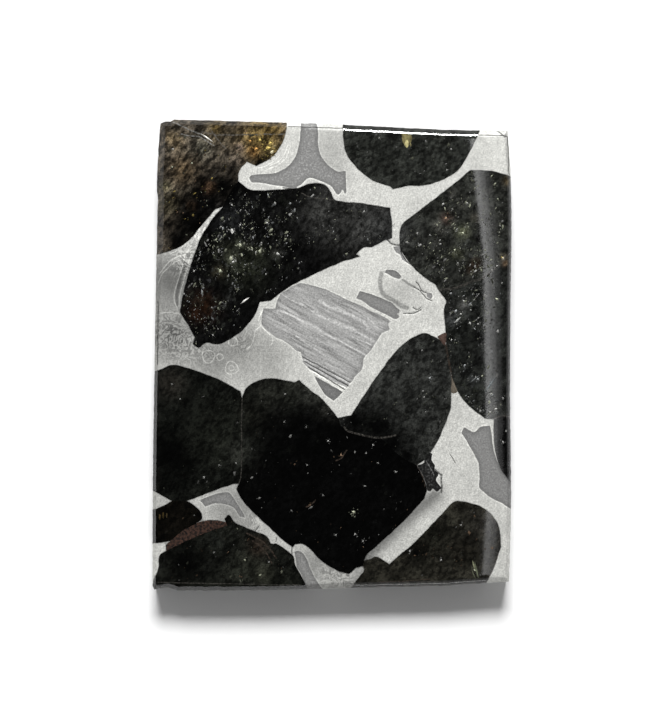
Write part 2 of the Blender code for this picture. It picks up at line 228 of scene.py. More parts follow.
RIGHT_FIELD = [
    [(12.95, -7.8), (13.25, -7.25), (13.75, -7.55), (14.25, -7.7), (14.85, -7.2), (15.8, -7.05)],
    [(15.95, -7.7), (16.1, -8.95), (16.35, -10.1), (16.75, -11.1), (17.25, -11.85), (18.4, -13.2)],
    [(18.4, -15.7), (17.0, -14.85), (16.25, -14.5), (15.6, -14.1), (14.85, -13.45)],
    [(14.7, -13.2), (14.75, -12.0), (14.7, -11.0), (14.35, -10.2), (13.9, -9.4), (13.45, -8.55)],
]
LENS_FIELD = [
    [(5.05, 8.35), (5.4, 8.5), (6.15, 8.5), (6.6, 8.25), (7.05, 7.7)],
    [(6.6, 7.6), (5.85, 7.95), (5.25, 8.25)],
]
BLOB_FIELD = [[(9.45, 6.2), (9.95, 6.2), (10.1, 5.8), (9.9, 5.6), (9.5, 5.85)]]
NECK_FIELD = [
    [(6.1, 10.85), (6.9, 10.9)],
    [(7.0, 10.1), (7.7, 9.1)],
    [(6.95, 9.55), (6.8, 10.0), (6.4, 10.25)],
]
DAMAGED_FIELD = [
    [(8.5, -11.05), (9.2, -10.75), (9.25, -10.2), (9.75, -9.7)],
    [(10.05, -9.9), (9.95, -10.5), (10.3, -11.0)],
    [(10.25, -11.5), (10.65, -11.9), (10.4, -12.5), (10.7, -13.0)],
    [(10.95, -13.3), (10.5, -13.7), (10.1, -13.35)],
    [(9.8, -13.75), (9.5, -13.5)],
    [(9.1, -12.1)],
]
STRIP_FIELD = [
    [(-13.3, -14.5), (-12.35, -14.15), (-11.25, -13.8), (-10.3, -13.7)],
    [(-9.8, -14.35), (-9.1, -15.45), (-8.65, -16.3)],
    [(-9.2, -16.15), (-9.9, -15.25), (-10.75, -14.95), (-11.65, -14.85), (-12.65, -15.15)],
]
LOBE_FIELD = [
    [(-3.8, -19.55), (-3.1, -19.65), (-2.5, -20.45), (-2.05, -21.7), (-1.55, -22.5), (-0.7, -23.8)],
    [(-2.7, -23.8), (-3.0, -22.2), (-3.5, -21.2)],
]
# Each field with how light it is against the bright kamacite round it, and how grainy
GREY_FIELDS = [
    (TEE_FIELD, 0.43, 1.0),
    (STRIPED_FIELD, 0.61, 0.5),
    (BLADE_FIELD, 0.45, 0.2),
    (CORNER_FIELD, 0.36, 0.3),
    (RIGHT_FIELD, 0.44, 0.5),
    (LENS_FIELD, 0.42, 0.3),
    (BLOB_FIELD, 0.55, 0.5),
    (NECK_FIELD, 0.50, 0.5),
    (DAMAGED_FIELD, 0.03, 0.7),
    (STRIP_FIELD, 0.44, 0.4),
    (LOBE_FIELD, 0.45, 0.6),
]
# Which of the fields is striped, and which way its stripes run, in degrees
STRIPED = 1
STRIPES_RUN = -28

# Light lines in the metal, each with half its width in millimetres: lamellae in the striped field
LIGHT_LINES = [
    (0.16, [(-1.2, 5.45), (-0.3, 4.85), (1.1, 4.3), (2.4, 3.75), (3.3, 3.15), (3.65, 2.7)]),
    (0.07, [(1.1, 5.2), (2.3, 4.6), (3.5, 3.75), (4.6, 2.7)]),
    (0.09, [(-5.1, 6.2), (-4.2, 5.55), (-2.95, 5.0), (-1.9, 4.3)]),
    (0.22, [(-1.9, 4.3), (-0.3, 3.6), (1.1, 2.95), (2.4, 2.35)]),
    (0.10, [(2.4, 2.35), (4.4, 1.3)]),
    (0.12, [(-5.6, 4.55), (-4.2, 4.05), (-2.95, 3.4), (-1.6, 2.8), (-0.7, 2.15), (0.45, 1.6)]),
    (0.09, [(0.45, 1.6), (1.95, 0.75), (3.4, -0.05)]),
    (0.06, [(1.95, 1.8), (3.0, 1.4), (3.9, 1.0)]),
    (0.08, [(-3.65, 1.9), (-2.4, 1.1), (-1.6, 0.55), (-0.65, -0.1)]),
    (0.08, [(-2.95, -0.05), (-0.5, -1.3), (1.95, -2.5)]),
    (0.09, [(-2.95, -0.42), (1.75, -2.92)]),
    (0.10, [(-2.6, -0.95), (1.4, -3.3)]),
    (0.06, [(-2.1, -1.5), (1.0, -3.6)]),
]
# Pale lines in the metal: the lens and the curls at the left edge, arcs beside the T, and the rims
# of the damaged field
PALE_LINES = [
    (0.05, [(-14.15, 10.05), (-14.4, 8.9), (-14.85, 7.45), (-15.2, 5.95), (-15.35, 4.9)]),
    (0.05, [(-14.7, 10.25), (-14.85, 9.4), (-15.15, 8.15), (-15.55, 7.0), (-15.8, 5.6), (-15.4, 4.5)]),
    (0.06, [(-17.3, 8.1), (-16.5, 9.1), (-15.6, 9.75), (-14.7, 10.1), (-14.1, 10.9)]),
    (0.05, [(-17.4, 7.2), (-16.9, 8.2), (-16.1, 9.0), (-15.3, 9.45), (-14.75, 9.5)]),
    (0.05, [(-16.2, 10.1), (-15.2, 10.6), (-14.2, 11.6), (-13.2, 12.7)]),
    (0.05, [(-17.2, 4.2), (-16.2, 4.25), (-15.2, 4.1)]),
    (0.05, [(-7.1, 2.9), (-7.7, 2.4), (-7.8, 1.75), (-8.1, 0.95), (-8.65, 0.5)]),
    (0.05, [(-7.1, 2.9), (-6.3, 2.1), (-5.9, 1.55), (-6.1, 1.0)]),
    (0.05, [(-6.9, 4.6), (-7.2, 3.9), (-7.3, 3.3), (-7.1, 2.9)]),
    (0.04, [(-6.6, 18.5), (-5.4, 19.0), (-4.6, 19.8), (-4.1, 20.9)]),
    (0.04, [(-6.2, 18.9), (-5.3, 19.4), (-4.7, 20.2), (-4.4, 21.0)]),
    (0.04, [(-7.9, 18.7), (-6.8, 18.8), (-5.9, 19.3), (-5.2, 20.0)]),
    (0.04, [(8.45, -11.2), (8.95, -11.85), (9.4, -13.0)]),
    (0.04, [(9.4, -10.6), (9.9, -11.4), (10.2, -12.0)]),
]
# Pale rings at the left edge, each as its middle and its reach, and half the width of their lines
RINGS = [
    (-10.05, -1.3, 0.64), (-10.05, -1.3, 0.26), (-11.2, -0.2, 0.32),
    (-9.9, 1.35, 0.45), (-12.35, -0.15, 0.62),
]
RING_HALF = 0.06
# How many corners a ring has, and by what share of its reach it is wavy
RING_CORNERS = 25
RING_WAVE = 0.08

# Soft grey lines in the metal: the hollow sides of the two lenses
SOFT_LINES = [
    (0.20, [(4.95, 8.2), (4.8, 7.3), (5.0, 6.3), (5.55, 5.8), (6.3, 5.35), (6.9, 4.95), (7.5, 4.7)]),
    (0.10, [(7.1, 7.5), (7.7, 7.1), (8.3, 6.8)]),
    (0.14, [(-14.75, 8.9), (-14.95, 8.2), (-15.3, 7.0), (-15.5, 5.9), (-15.45, 5.05)]),
]
# Dark lines in the metal: between the lamellae, cracks and curls, and painted shade along the bevel's inner
# edge at the rim, cut in as shallow grooves
DARK_LINES = [
    (0.04, [(-2.9, -0.22), (1.8, -2.72)]),
    (0.05, [(-2.75, -0.65), (1.65, -3.1)]),
    (0.05, [(-2.35, -1.25), (1.25, -3.45)]),
    (0.05, [(-4.95, 16.68), (-4.0, 16.6), (-3.2, 16.35)]),
    (0.08, [(5.4, 11.65), (5.85, 11.2), (6.3, 11.0), (6.9, 10.95)]),
    (0.04, [(6.85, 10.9), (7.0, 10.0), (7.7, 9.1)]),
    (0.04, [(8.15, 6.8), (8.7, 6.5), (9.05, 6.1), (9.45, 5.7), (10.0, 5.4)]),
    (0.05, [(8.4, 7.3), (8.7, 6.95), (8.9, 6.5), (9.45, 6.2)]),
    (0.05, [(7.15, 4.2), (7.7, 4.15), (8.3, 4.2), (8.9, 4.5)]),
    (0.04, [(8.1, 4.75), (8.5, 4.5), (8.9, 4.75)]),
    (0.03, [(11.8, -9.95), (12.35, -10.85)]),
    (0.08, [(10.25, -11.4), (10.75, -11.9), (11.0, -12.0)]),
    (0.09, [(10.95, -12.1), (10.95, -13.4), (10.95, -13.7)]),
    (0.04, [(-7.65, -17.6), (-7.3, -17.1)]),
    (0.04, [(-5.5, -18.3), (-5.6, -18.7)]),
    (0.05, [(-4.0, -19.1), (-4.0, -20.1)]),
    # Painted shade: dark lines along the inner edge of the bevel, where it meets the face
    (0.05, [(-4.4, 22.85), (1.2, 22.7)]),
    (0.05, [(14.8, 22.0), (17.6, 21.9)]),
    (0.06, [(16.55, 22.5), (17.3, 21.8)]),
    (0.05, [(17.55, 21.9), (17.7, 18.0)]),
    (0.05, [(-17.4, 5.4), (-17.45, -1.0)]),
]

# Soft shades in the metal: a middle, a reach and how light the metal is there
SHADES = [
    ((-16.0, 7.5), 3.2, 0.29),
    ((-16.0, 2.0), 3.0, 0.33),
    ((-12.0, -0.2), 2.6, 0.45),
    ((-9.0, 0.8), 2.4, 0.46),
    ((-6.5, -0.5), 2.4, 0.68),
    ((-13.2, 8.6), 1.6, 0.42),
    ((0.2, 20.5), 2.6, 0.74),
    ((8.4, 3.0), 3.2, 1.04),
    ((7.0, 6.6), 1.9, 0.78),
    ((4.6, 9.0), 2.6, 1.08),
    ((-9.5, -15.5), 3.5, 0.54),
    ((-17.0, -15.0), 2.5, 0.8),
    ((2.0, -22.0), 3.0, 0.56),
    ((-1.5, -21.0), 2.5, 0.56),
]
# Where the metal is covered in fine curls: a middle, a reach and how strongly
CURLS = [
    ((-16.3, 2.2), 2.2, 1.0),
    ((-14.5, 0.8), 1.9, 1.0),
    ((-12.4, 0.4), 1.2, 0.7),
    ((-8.8, 1.2), 1.5, 0.7),
    ((-14.4, 9.6), 1.7, 1.4),
    ((-12.9, 12.0), 1.5, 1.4),
    ((-11.6, 13.8), 1.0, 1.0),
    ((-7.6, -16.6), 1.0, 0.9),
    ((-0.3, -22.0), 1.2, 1.0),
    ((1.4, -22.2), 1.4, 1.0),
    ((4.5, -20.5), 1.4, 0.5),
]
# Soft grey shading along one side of the bar at the lower right, and how much it darkens
BAR_SHADE = (0.8, [(10.4, -13.9), (7.0, -16.85), (3.4, -20.2)])
BAR_DARKENS = 0.58

# How fine the plan is: the spacing of loose corners in metal and in crystals, and of
# points along outlines, in millimetres
METAL_CELL = 0.2
CRYSTAL_CELL = 0.34
FINE_STEP = 0.2
# Points of an outline closer than the first of these are one, and corners of the plan closer than
# the second, in millimetres
SAME_POINT = 0.005
TOUCHING = 1e-4
# Spacing of the points that distances to lines are measured from, in millimetres
SAMPLE = 0.03
# Loose corners reach this far to the sides and to the ends, in millimetres. The space between
# their rows and the most that each is moved are shares of a cell.
GRID_SIDE = 18.5
GRID_END = 24
ROW_SPACING = 0.87
JITTER = 0.22
GRID_SEED = 7

# The bevel is this deep and this wide along each side, in millimetres
BEVEL_DEPTH = 0.45
BEVEL_WIDTHS = {"top": 0.55, "right": 0.35, "bottom": 0.5, "left_top": 0.75, "left_low": 0.4}
# The left one widens between these heights. The rim's sides and ends are this far from the middle,
# and where they meet one width turns into the other over this length, all in millimetres.
LEFT_WIDENS = (0, 12)
RIM_SIDE = 18.0
RIM_END = 23.4
CORNER_BLEND = 2
# The bevel's rounded profile: shares of its width in from the rim, and of its depth down
PROFILE_IN = (0.0, 0.05, 0.12, 0.5, 0.70, 0.9, 1.10, 1.21, 1.30)
PROFILE_DOWN = (1.0, 0.9, 0.82, 0.43, 0.25, 0.146, 0.042, 0.0085, 0.0)

# Loose points keep this share of a cell away from lines, and crumbs of metal with
# fewer triangles than this go to the crystal beside them
CLEAR = 0.45
CRUMB = 60

# Outlines and the rim are rough by this much, over this length, in millimetres
ROUGH = 0.05
RIM_ROUGH = 0.04
ROUGH_LENGTH = 0.7
# The layers of that noise: a height to take it at, how much finer it is, and its share
ROUGH_LAYERS = ((0, 1, 1.0), (5, 3, 0.5))
# The noise starts from the clock unless it gets a seed
NOISE_SEED = 3
# Each wall stands back this far, so that pieces never touch, in millimetres
WALL_GAP = 0.006

# The colour of the haze in each crystal, and soft spots in them: a middle, a reach and a colour
CRYSTAL_COLOURS = {
    "olivine_gold_corner": (0.24, 0.20, 0.15),
    "olivine_upper_left": (0.03, 0.03, 0.03),
    "olivine_top": (0.22, 0.235, 0.205),
    "olivine_upper_right": (0.22, 0.23, 0.20),
    "olivine_right": (0.13, 0.14, 0.125),
    "olivine_right_edge": (0.04, 0.04, 0.04),
    "olivine_heart_right": (0.24, 0.25, 0.23),
    "olivine_heart_left": (0.01, 0.01, 0.01),
    "olivine_left": (0.05, 0.055, 0.045),
    "olivine_left_small": (0.03, 0.025, 0.018),
    "olivine_lower_left": (0.07, 0.075, 0.06),
    "olivine_lower_right": (0.18, 0.17, 0.13),
}
BLACK = (0.004, 0.004, 0.004)
COLOUR_SPOTS = [
    ((-15.6, 21.4), 0.8, (0.45, 0.34, 0.20)),
    ((-13.0, 20.7), 1.0, (0.36, 0.34, 0.26)),
    ((-11.5, 22.5), 1.2, (0.38, 0.30, 0.18)),
    ((-14.9, 18.5), 1.2, (0.60, 0.43, 0.25)),
    ((-16.3, 15.1), 1.0, (0.42, 0.36, 0.22)),
    ((-9.2, 19.8), 0.9, (0.38, 0.32, 0.28)),
    ((-7.3, 21.4), 1.9, (0.90, 0.62, 0.22)),
    ((-6.2, 22.6), 1.0, (0.85, 0.58, 0.20)),
    ((-10.6, 16.9), 1.9, BLACK),
    ((-12.4, 16.6), 1.4, BLACK),
    ((-12.6, 15.2), 2.4, BLACK),
    ((-13.9, 14.4), 1.6, BLACK),
    ((-13.8, 13.0), 2.6, BLACK),
    ((-15.3, 11.6), 1.7, BLACK),
    ((-10.0, 18.7), 0.6, BLACK),
    ((-7.3, 19.2), 0.8, BLACK),
    ((-12.3, 16.8), 0.5, (0.20, 0.12, 0.07)),
    ((-14.1, 14.9), 0.4, (0.17, 0.11, 0.07)),
    ((-16.3, 21.8), 0.5, (0.50, 0.38, 0.22)),
    ((-16.7, 16.9), 0.5, (0.45, 0.40, 0.24)),
    ((-11.6, 22.7), 0.5, (0.55, 0.38, 0.14)),
    ((-9.2, 20.8), 0.5, (0.48, 0.36, 0.28)),
    ((-7.9, 20.4), 0.5, (1.0, 0.55, 0.20)),
    ((-5.9, 20.5), 0.5, (1.2, 0.90, 0.35)),
    # Painted shade: these black spots make a dark stripe along the left edge of the mirrored strip of light
    ((14.5, 14.6), 0.4, BLACK),
    ((14.5, 11.6), 0.5, BLACK),
    ((14.6, 6.0), 0.5, BLACK),
    ((14.7, 3.9), 0.5, BLACK),
    ((14.7, 1.7), 0.5, BLACK),
    ((14.8, -0.5), 0.5, BLACK),
    ((11.9, 16.1), 0.4, (0.50, 0.49, 0.44)),
    ((13.0, 15.1), 0.5, (0.48, 0.48, 0.42)),
    ((14.3, 13.7), 0.4, (0.50, 0.47, 0.36)),
    ((11.5, 13.7), 0.5, (0.78, 0.52, 0.42)),
    ((10.5, 13.0), 0.4, (0.75, 0.74, 0.66)),
    ((11.1, 12.3), 0.5, (0.52, 0.52, 0.46)),
    ((13.0, 12.3), 0.6, (0.75, 0.80, 0.48)),
    ((10.5, 11.1), 0.4, (0.55, 0.55, 0.50)),
    ((12.4, 10.2), 0.5, (0.78, 0.82, 0.50)),
    ((14.4, 9.1), 0.5, (0.55, 0.38, 0.25)),
    ((13.8, 8.6), 0.4, (0.48, 0.34, 0.24)),
    ((17.2, 9.8), 0.3, (1.20, 1.05, 0.75)),
    ((17.3, 9.2), 0.3, (1.00, 0.68, 0.42)),
    ((17.5, 17.4), 0.4, (0.70, 0.55, 0.30)),
    ((13.2, 5.0), 0.4, (0.80, 0.80, 0.76)),
    ((13.4, 4.0), 0.4, (0.45, 0.47, 0.45)),
    ((11.9, 3.5), 0.5, (0.42, 0.44, 0.44)),
    ((14.1, -2.4), 0.4, (0.38, 0.40, 0.40)),
    ((16.0, -2.7), 0.4, (0.42, 0.50, 0.53)),
    ((16.2, -5.4), 0.4, (0.50, 0.48, 0.42)),
    ((-0.8, 14.2), 2.4, (0.32, 0.32, 0.30)),
    ((3.2, 13.1), 3.0, (0.37, 0.37, 0.35)),
    ((6.0, 12.4), 2.0, (0.33, 0.34, 0.33)),
    ((-13.0, 4.8), 1.3, (0.20, 0.09, 0.045)),
    ((-8.5, 8.6), 2.0, (0.12, 0.135, 0.09)),
    ((-10.2, 10.2), 1.2, (0.14, 0.15, 0.10)),
    ((-10.0, 9.5), 0.5, (0.60, 0.65, 0.45)),
    ((-11.3, 8.3), 0.5, (0.55, 0.50, 0.32)),
    ((-9.3, 11.0), 0.5, (0.42, 0.46, 0.32)),
    ((-7.3, 10.3), 0.4, (0.32, 0.34, 0.22)),
    ((-5.5, 10.0), 0.4, (0.30, 0.31, 0.26)),
    ((-13.4, 4.1), 0.5, (0.34, 0.15, 0.08)),
    ((-10.3, 13.4), 1.4, (0.09, 0.095, 0.10)),
    ((2.2, -6.8), 1.6, BLACK),
    ((4.2, -7.0), 2.2, BLACK),
    ((6.2, -8.9), 2.0, BLACK),
    ((7.6, -10.2), 1.0, BLACK),
    ((-6.3, -3.7), 1.8, (0.13, 0.135, 0.11)),
    ((-3.8, -3.4), 1.5, (0.18, 0.19, 0.155)),
    ((-2.0, -3.8), 1.1, (0.34, 0.35, 0.30)),
    ((-0.2, -5.3), 1.0, (0.18, 0.18, 0.155)),
    ((-8.3, -6.0), 1.2, (0.09, 0.09, 0.07)),
    ((-11.6, -8.0), 3.2, (0.10, 0.11, 0.085)),
    ((-9.4, -9.6), 1.2, (0.17, 0.18, 0.15)),
    ((-16.2, -2.8), 1.3, (0.22, 0.20, 0.165)),
    ((-16.0, -10.0), 2.6, BLACK),
    ((-8.7, -21.0), 1.4, (0.21, 0.225, 0.17)),
    ((-7.4, -19.2), 0.9, (0.20, 0.15, 0.11)),
    ((-14.6, -20.6), 2.0, BLACK),
    ((-11.6, -18.6), 0.9, (0.11, 0.12, 0.10)),
    ((-6.7, -21.8), 0.9, (0.25, 0.26, 0.19)),
    ((8.4, -19.8), 1.2, BLACK),
    ((10.2, -17.8), 1.2, (0.07, 0.07, 0.05)),
    ((13.6, -18.4), 0.9, BLACK),
    ((11.9, -16.0), 0.8, (0.22, 0.21, 0.16)),
    ((14.8, -17.0), 1.4, (0.24, 0.225, 0.185)),
    ((13.2, -19.6), 1.2, (0.09, 0.08, 0.06)),
]
# How the streaks of the crystals run, in degrees, with two apart
STREAK = 45
STREAKS = {"olivine_gold_corner": 50, "olivine_upper_left": 60}

# Bright scratches, pale seams and brown veins on the crystals, each with half its width
SCRATCHES = [
    (0.06, [(-15.9, 23.3), (-14.6, 22.7), (-13.5, 22.2)]),
    (0.06, [(-13.5, 22.2), (-13.1, 22.1), (-12.5, 21.7)]),
    (0.05, [(-15.1, 22.1), (-14.2, 21.9), (-13.2, 21.8), (-11.8, 20.9)]),
]
SEAMS = [
    (0.06, [(-13.0, 22.3), (-12.0, 22.1), (-11.0, 22.0), (-4.7, 22.1)]),
    (0.05, [(-12.2, 22.6), (-11.3, 21.4), (-10.6, 20.6)]),
    (0.05, [(-3.1, 16.2), (-2.2, 15.8), (0.2, 15.5)]),
    (0.08, [(1.2, -7.2), (1.6, -7.6), (2.6, -7.9), (3.8, -8.15), (5.0, -8.3), (6.4, -8.0)]),
    (0.10, UPPER_RIGHT_AND_RIGHT),
    (0.07, RIGHT_AND_RIGHT_EDGE),
    (0.04, LEFT_AND_HEART_LEFT),
    (0.035, [(-17.5, -22.7), (-15.2, -22.8), (-9.0, -22.9), (-3.2, -23.0)]),
]
VEINS = [
    (0.09, RIGHT_AND_HEART_RIGHT),
    (0.05, [(8.5, -11.0), (9.0, -12.0), (9.3, -13.2)]),
    (0.06, [(0.35, -10.6), (0.9, -10.3), (1.5, -9.5)]),
    (0.06, [(-2.6, -15.2), (-2.1, -15.0), (-1.7, -14.5)]),
    (0.07, [(-8.5, -17.8), (-7.2, -18.5), (-6.2, -19.4), (-5.6, -20.3)]),
    (0.06, [(-8.0, -18.5), (-7.2, -19.1), (-6.5, -19.9), (-6.0, -20.9)]),
    (0.05, [(4.8, -22.7), (6.5, -22.65), (9.8, -22.4)]),
]

# The lines by the name of their mark, those of the metal first, and the colours of the others
LINES = {
    "light": LIGHT_LINES, "pale": PALE_LINES, "soft": SOFT_LINES, "dark": DARK_LINES,
    "scratch": SCRATCHES, "seam": SEAMS, "vein": VEINS,
}
LINE_COLOURS = {"seam": (0.75, 0.70, 0.62), "vein": (0.55, 0.42, 0.33), "scratch": (1.4, 1.38, 1.3)}

# Colours of the flaws in the olivine
WHITE = (0.9, 0.9, 0.86)
GREEN = (0.76, 0.79, 0.60)
BROWN = (0.62, 0.42, 0.28)
BLUE = (0.77, 0.80, 0.80)
GOLD = (1.0, 0.78, 0.25)

# How many flaws each crystal has for each square millimetre where they crowd, how light
# the lightest are, as painted glints, and their colours
FLAWS = {
    "olivine_gold_corner": (30, 0.40, (BROWN, GOLD, GREEN)),
    "olivine_upper_left": (46, 0.55, (WHITE, GREEN, GREEN, BLUE)),
    "olivine_top": (30, 0.22, (WHITE, GREEN)),
    "olivine_upper_right": (60, 0.50, (WHITE, GREEN, GREEN)),
    "olivine_right": (60, 0.60, (WHITE, BLUE, GREEN)),
    "olivine_right_edge": (30, 0.40, (WHITE, BLUE)),
    "olivine_heart_right": (30, 0.25, (WHITE, GREEN)),
    "olivine_heart_left": (10, 0.30, (WHITE, WHITE, BROWN)),
    "olivine_left": (9, 0.18, (WHITE, GREEN)),
    "olivine_left_small": (12, 0.20, (BROWN, WHITE)),
    "olivine_lower_left": (24, 0.25, (WHITE, GREEN, BROWN)),
    "olivine_lower_right": (30, 0.28, (WHITE, GREEN, BROWN)),
}
# Where flaws crowd or are rare: a middle, a reach and the share of flaws kept there, and elsewhere
FLAW_CROWDS = [
    ((-10.5, 9.5), 4.0, 1.0),
    ((-12.5, 4.5), 2.5, 0.9),
    ((-6.5, 13.5), 3.5, 0.8),
    ((12.5, 11.0), 3.5, 1.0),
    ((13.0, 4.0), 3.0, 1.0),
    ((14.5, -4.5), 2.5, 1.0),
    ((-0.5, 9.0), 2.0, 0.1),
    ((-6.0, 21.5), 2.0, 0.5),
    ((3.0, 13.0), 3.0, 0.1),
    ((0.0, -14.5), 5.0, 0.08),
    ((-15.5, -9.0), 3.0, 0.05),
    ((15.7, 12.0), 0.9, 0.2),
    ((15.8, 6.0), 0.9, 0.2),
    ((15.9, 0.0), 0.9, 0.2),
]
FLAW_SHARE = 0.25
# Clumps of flaws come from noise: their width in millimetres, the height that the noise is taken
# at, and how it turns into the share of flaws that are kept
CLUMP = 1.1
CLUMP_SLICE = 3
CLUMP_EDGE = 0.5
CLUMP_START = 0.45
# How far a flaw reaches at least, how much more on average and how far at most, in millimetres, and
# by what factor it is longer than wide
SMALLEST_FLAW = 0.02
FLAW_GROWTH = 0.03
LARGEST_FLAW = 0.16
FLAW_STRETCH = (1.0, 2.6)
# How much the flaws' directions differ and how far a second set is turned, in radians, and the
# share of flaws that are in it
FLAW_TURNS = 0.35
SECOND_TURN = math.radians(55)
SECOND_SHARE = 0.35
# How light a flaw is at least, its lightness being a painted glint. The higher the power, the fewer are
# bright.
DIMMEST_PAINTED_GLINT = 0.03
DULLNESS = 4
# A flaw stays this far from its crystal's wall, and its middle this far from the rim, in millimetres
OFF_WALL = 0.1
OFF_RIM = 0.9
# A flaw has at least as many corners as the first of these and fewer than the second. Each sways
# by up to this share of the turn between two, lies at a share of the reach, and is at least this light, a
# painted glint dimmer at the corners.
FLAW_SIDES = (4, 7)
CORNER_SWAY = 0.3
CORNER_REACH = (0.6, 1.0)
DULLEST_CORNER = 0.25
FLAW_SEED = 11

# Chips and larger flaws that show as patches: a colour and an outline
CHIPS = {
    "olivine_top": [
        ((0.24, 0.21, 0.10), [(6.95, 22.1), (7.5, 22.1), (8.0, 21.9), (7.9, 21.3), (7.5, 20.9), (7.1, 21.2)]),
        ((0.66, 0.60, 0.30), [(7.3, 21.7), (7.5, 22.0), (7.75, 21.6), (7.7, 21.1), (7.5, 20.7), (7.2, 21.1)]),
    ],
    "olivine_right": [
        ((0.17, 0.18, 0.17), [(12.9, -3.3), (13.4, -3.0), (14.5, -2.1), (13.8, -2.7)]),
        ((0.22, 0.19, 0.15), [(11.95, -2.1), (12.2, -2.75), (12.55, -3.65), (12.15, -3.85), (11.9, -3.75)]),
        ((0.50, 0.50, 0.48), [(12.6, 4.4), (12.8, 4.6), (13.3, 5.3), (13.0, 4.9)]),
        ((0.45, 0.46, 0.44), [(12.2, 3.2), (12.5, 3.3), (12.9, 3.8), (12.5, 3.6)]),
        ((0.16, 0.17, 0.17), [(13.8, -2.8), (14.2, -2.5), (14.8, -2.0), (14.3, -2.3)]),
        ((0.24, 0.27, 0.28), [(15.3, -3.7), (15.7, -3.3), (16.3, -2.3), (15.8, -2.9)]),
    ],
    "olivine_lower_right": [
        ((0.30, 0.31, 0.20), [(14.0, -20.5), (14.2, -20.8), (14.3, -21.5), (14.1, -21.1)]),
        ((0.22, 0.24, 0.16), [(14.25, -20.6), (14.5, -21.4), (14.65, -22.3), (14.35, -21.6)]),
        ((0.18, 0.19, 0.13), [(13.9, -21.0), (14.1, -21.7), (14.4, -22.4), (14.05, -21.9)]),
    ],
    "olivine_gold_corner": [
        ((0.75, 0.73, 0.68), [(-13.1, 22.15), (-12.4, 21.75), (-11.9, 21.3), (-12.5, 21.62)]),
    ],
    "olivine_upper_left": [
        ((0.85, 0.84, 0.80), [(-9.15, 5.1), (-8.7, 5.35), (-8.25, 5.75), (-8.8, 5.5)]),
    ],
    "olivine_left_small": [
        ((0.10, 0.07, 0.03), [(-17.3, -15.9), (-17.15, -15.95), (-17.2, -16.5), (-17.35, -16.3)]),
        ((0.07, 0.05, 0.02), [(-16.95, -15.7), (-16.8, -15.75), (-16.85, -16.4), (-17.0, -16.2)]),
        ((0.08, 0.06, 0.03), [(-16.6, -15.8), (-16.45, -15.85), (-16.5, -16.3), (-16.6, -16.2)]),
    ],
    "metal_web": [
        ((0.13, 0.085, 0.07), [(10.5, 1.8), (11.0, 2.1), (11.45, 2.2), (11.3, 0.95), (10.9, 1.35)]),
    ],
}

# Flaws stand this far out of the face and peak no higher than this over it, and the outlines of
# chips are this rough, in millimetres. Their peaks and roots are shares of their reach.
FLAW_PROUD = 0.002
FLAW_TALLEST = 0.02
CHIP_ROUGH = 0.03
FLAW_PEAK = 0.12
FLAW_ROOT = 0.4
# A flaw's peak lies this share of the way from its middle to its first corner
PEAK_SHIFT = 0.2
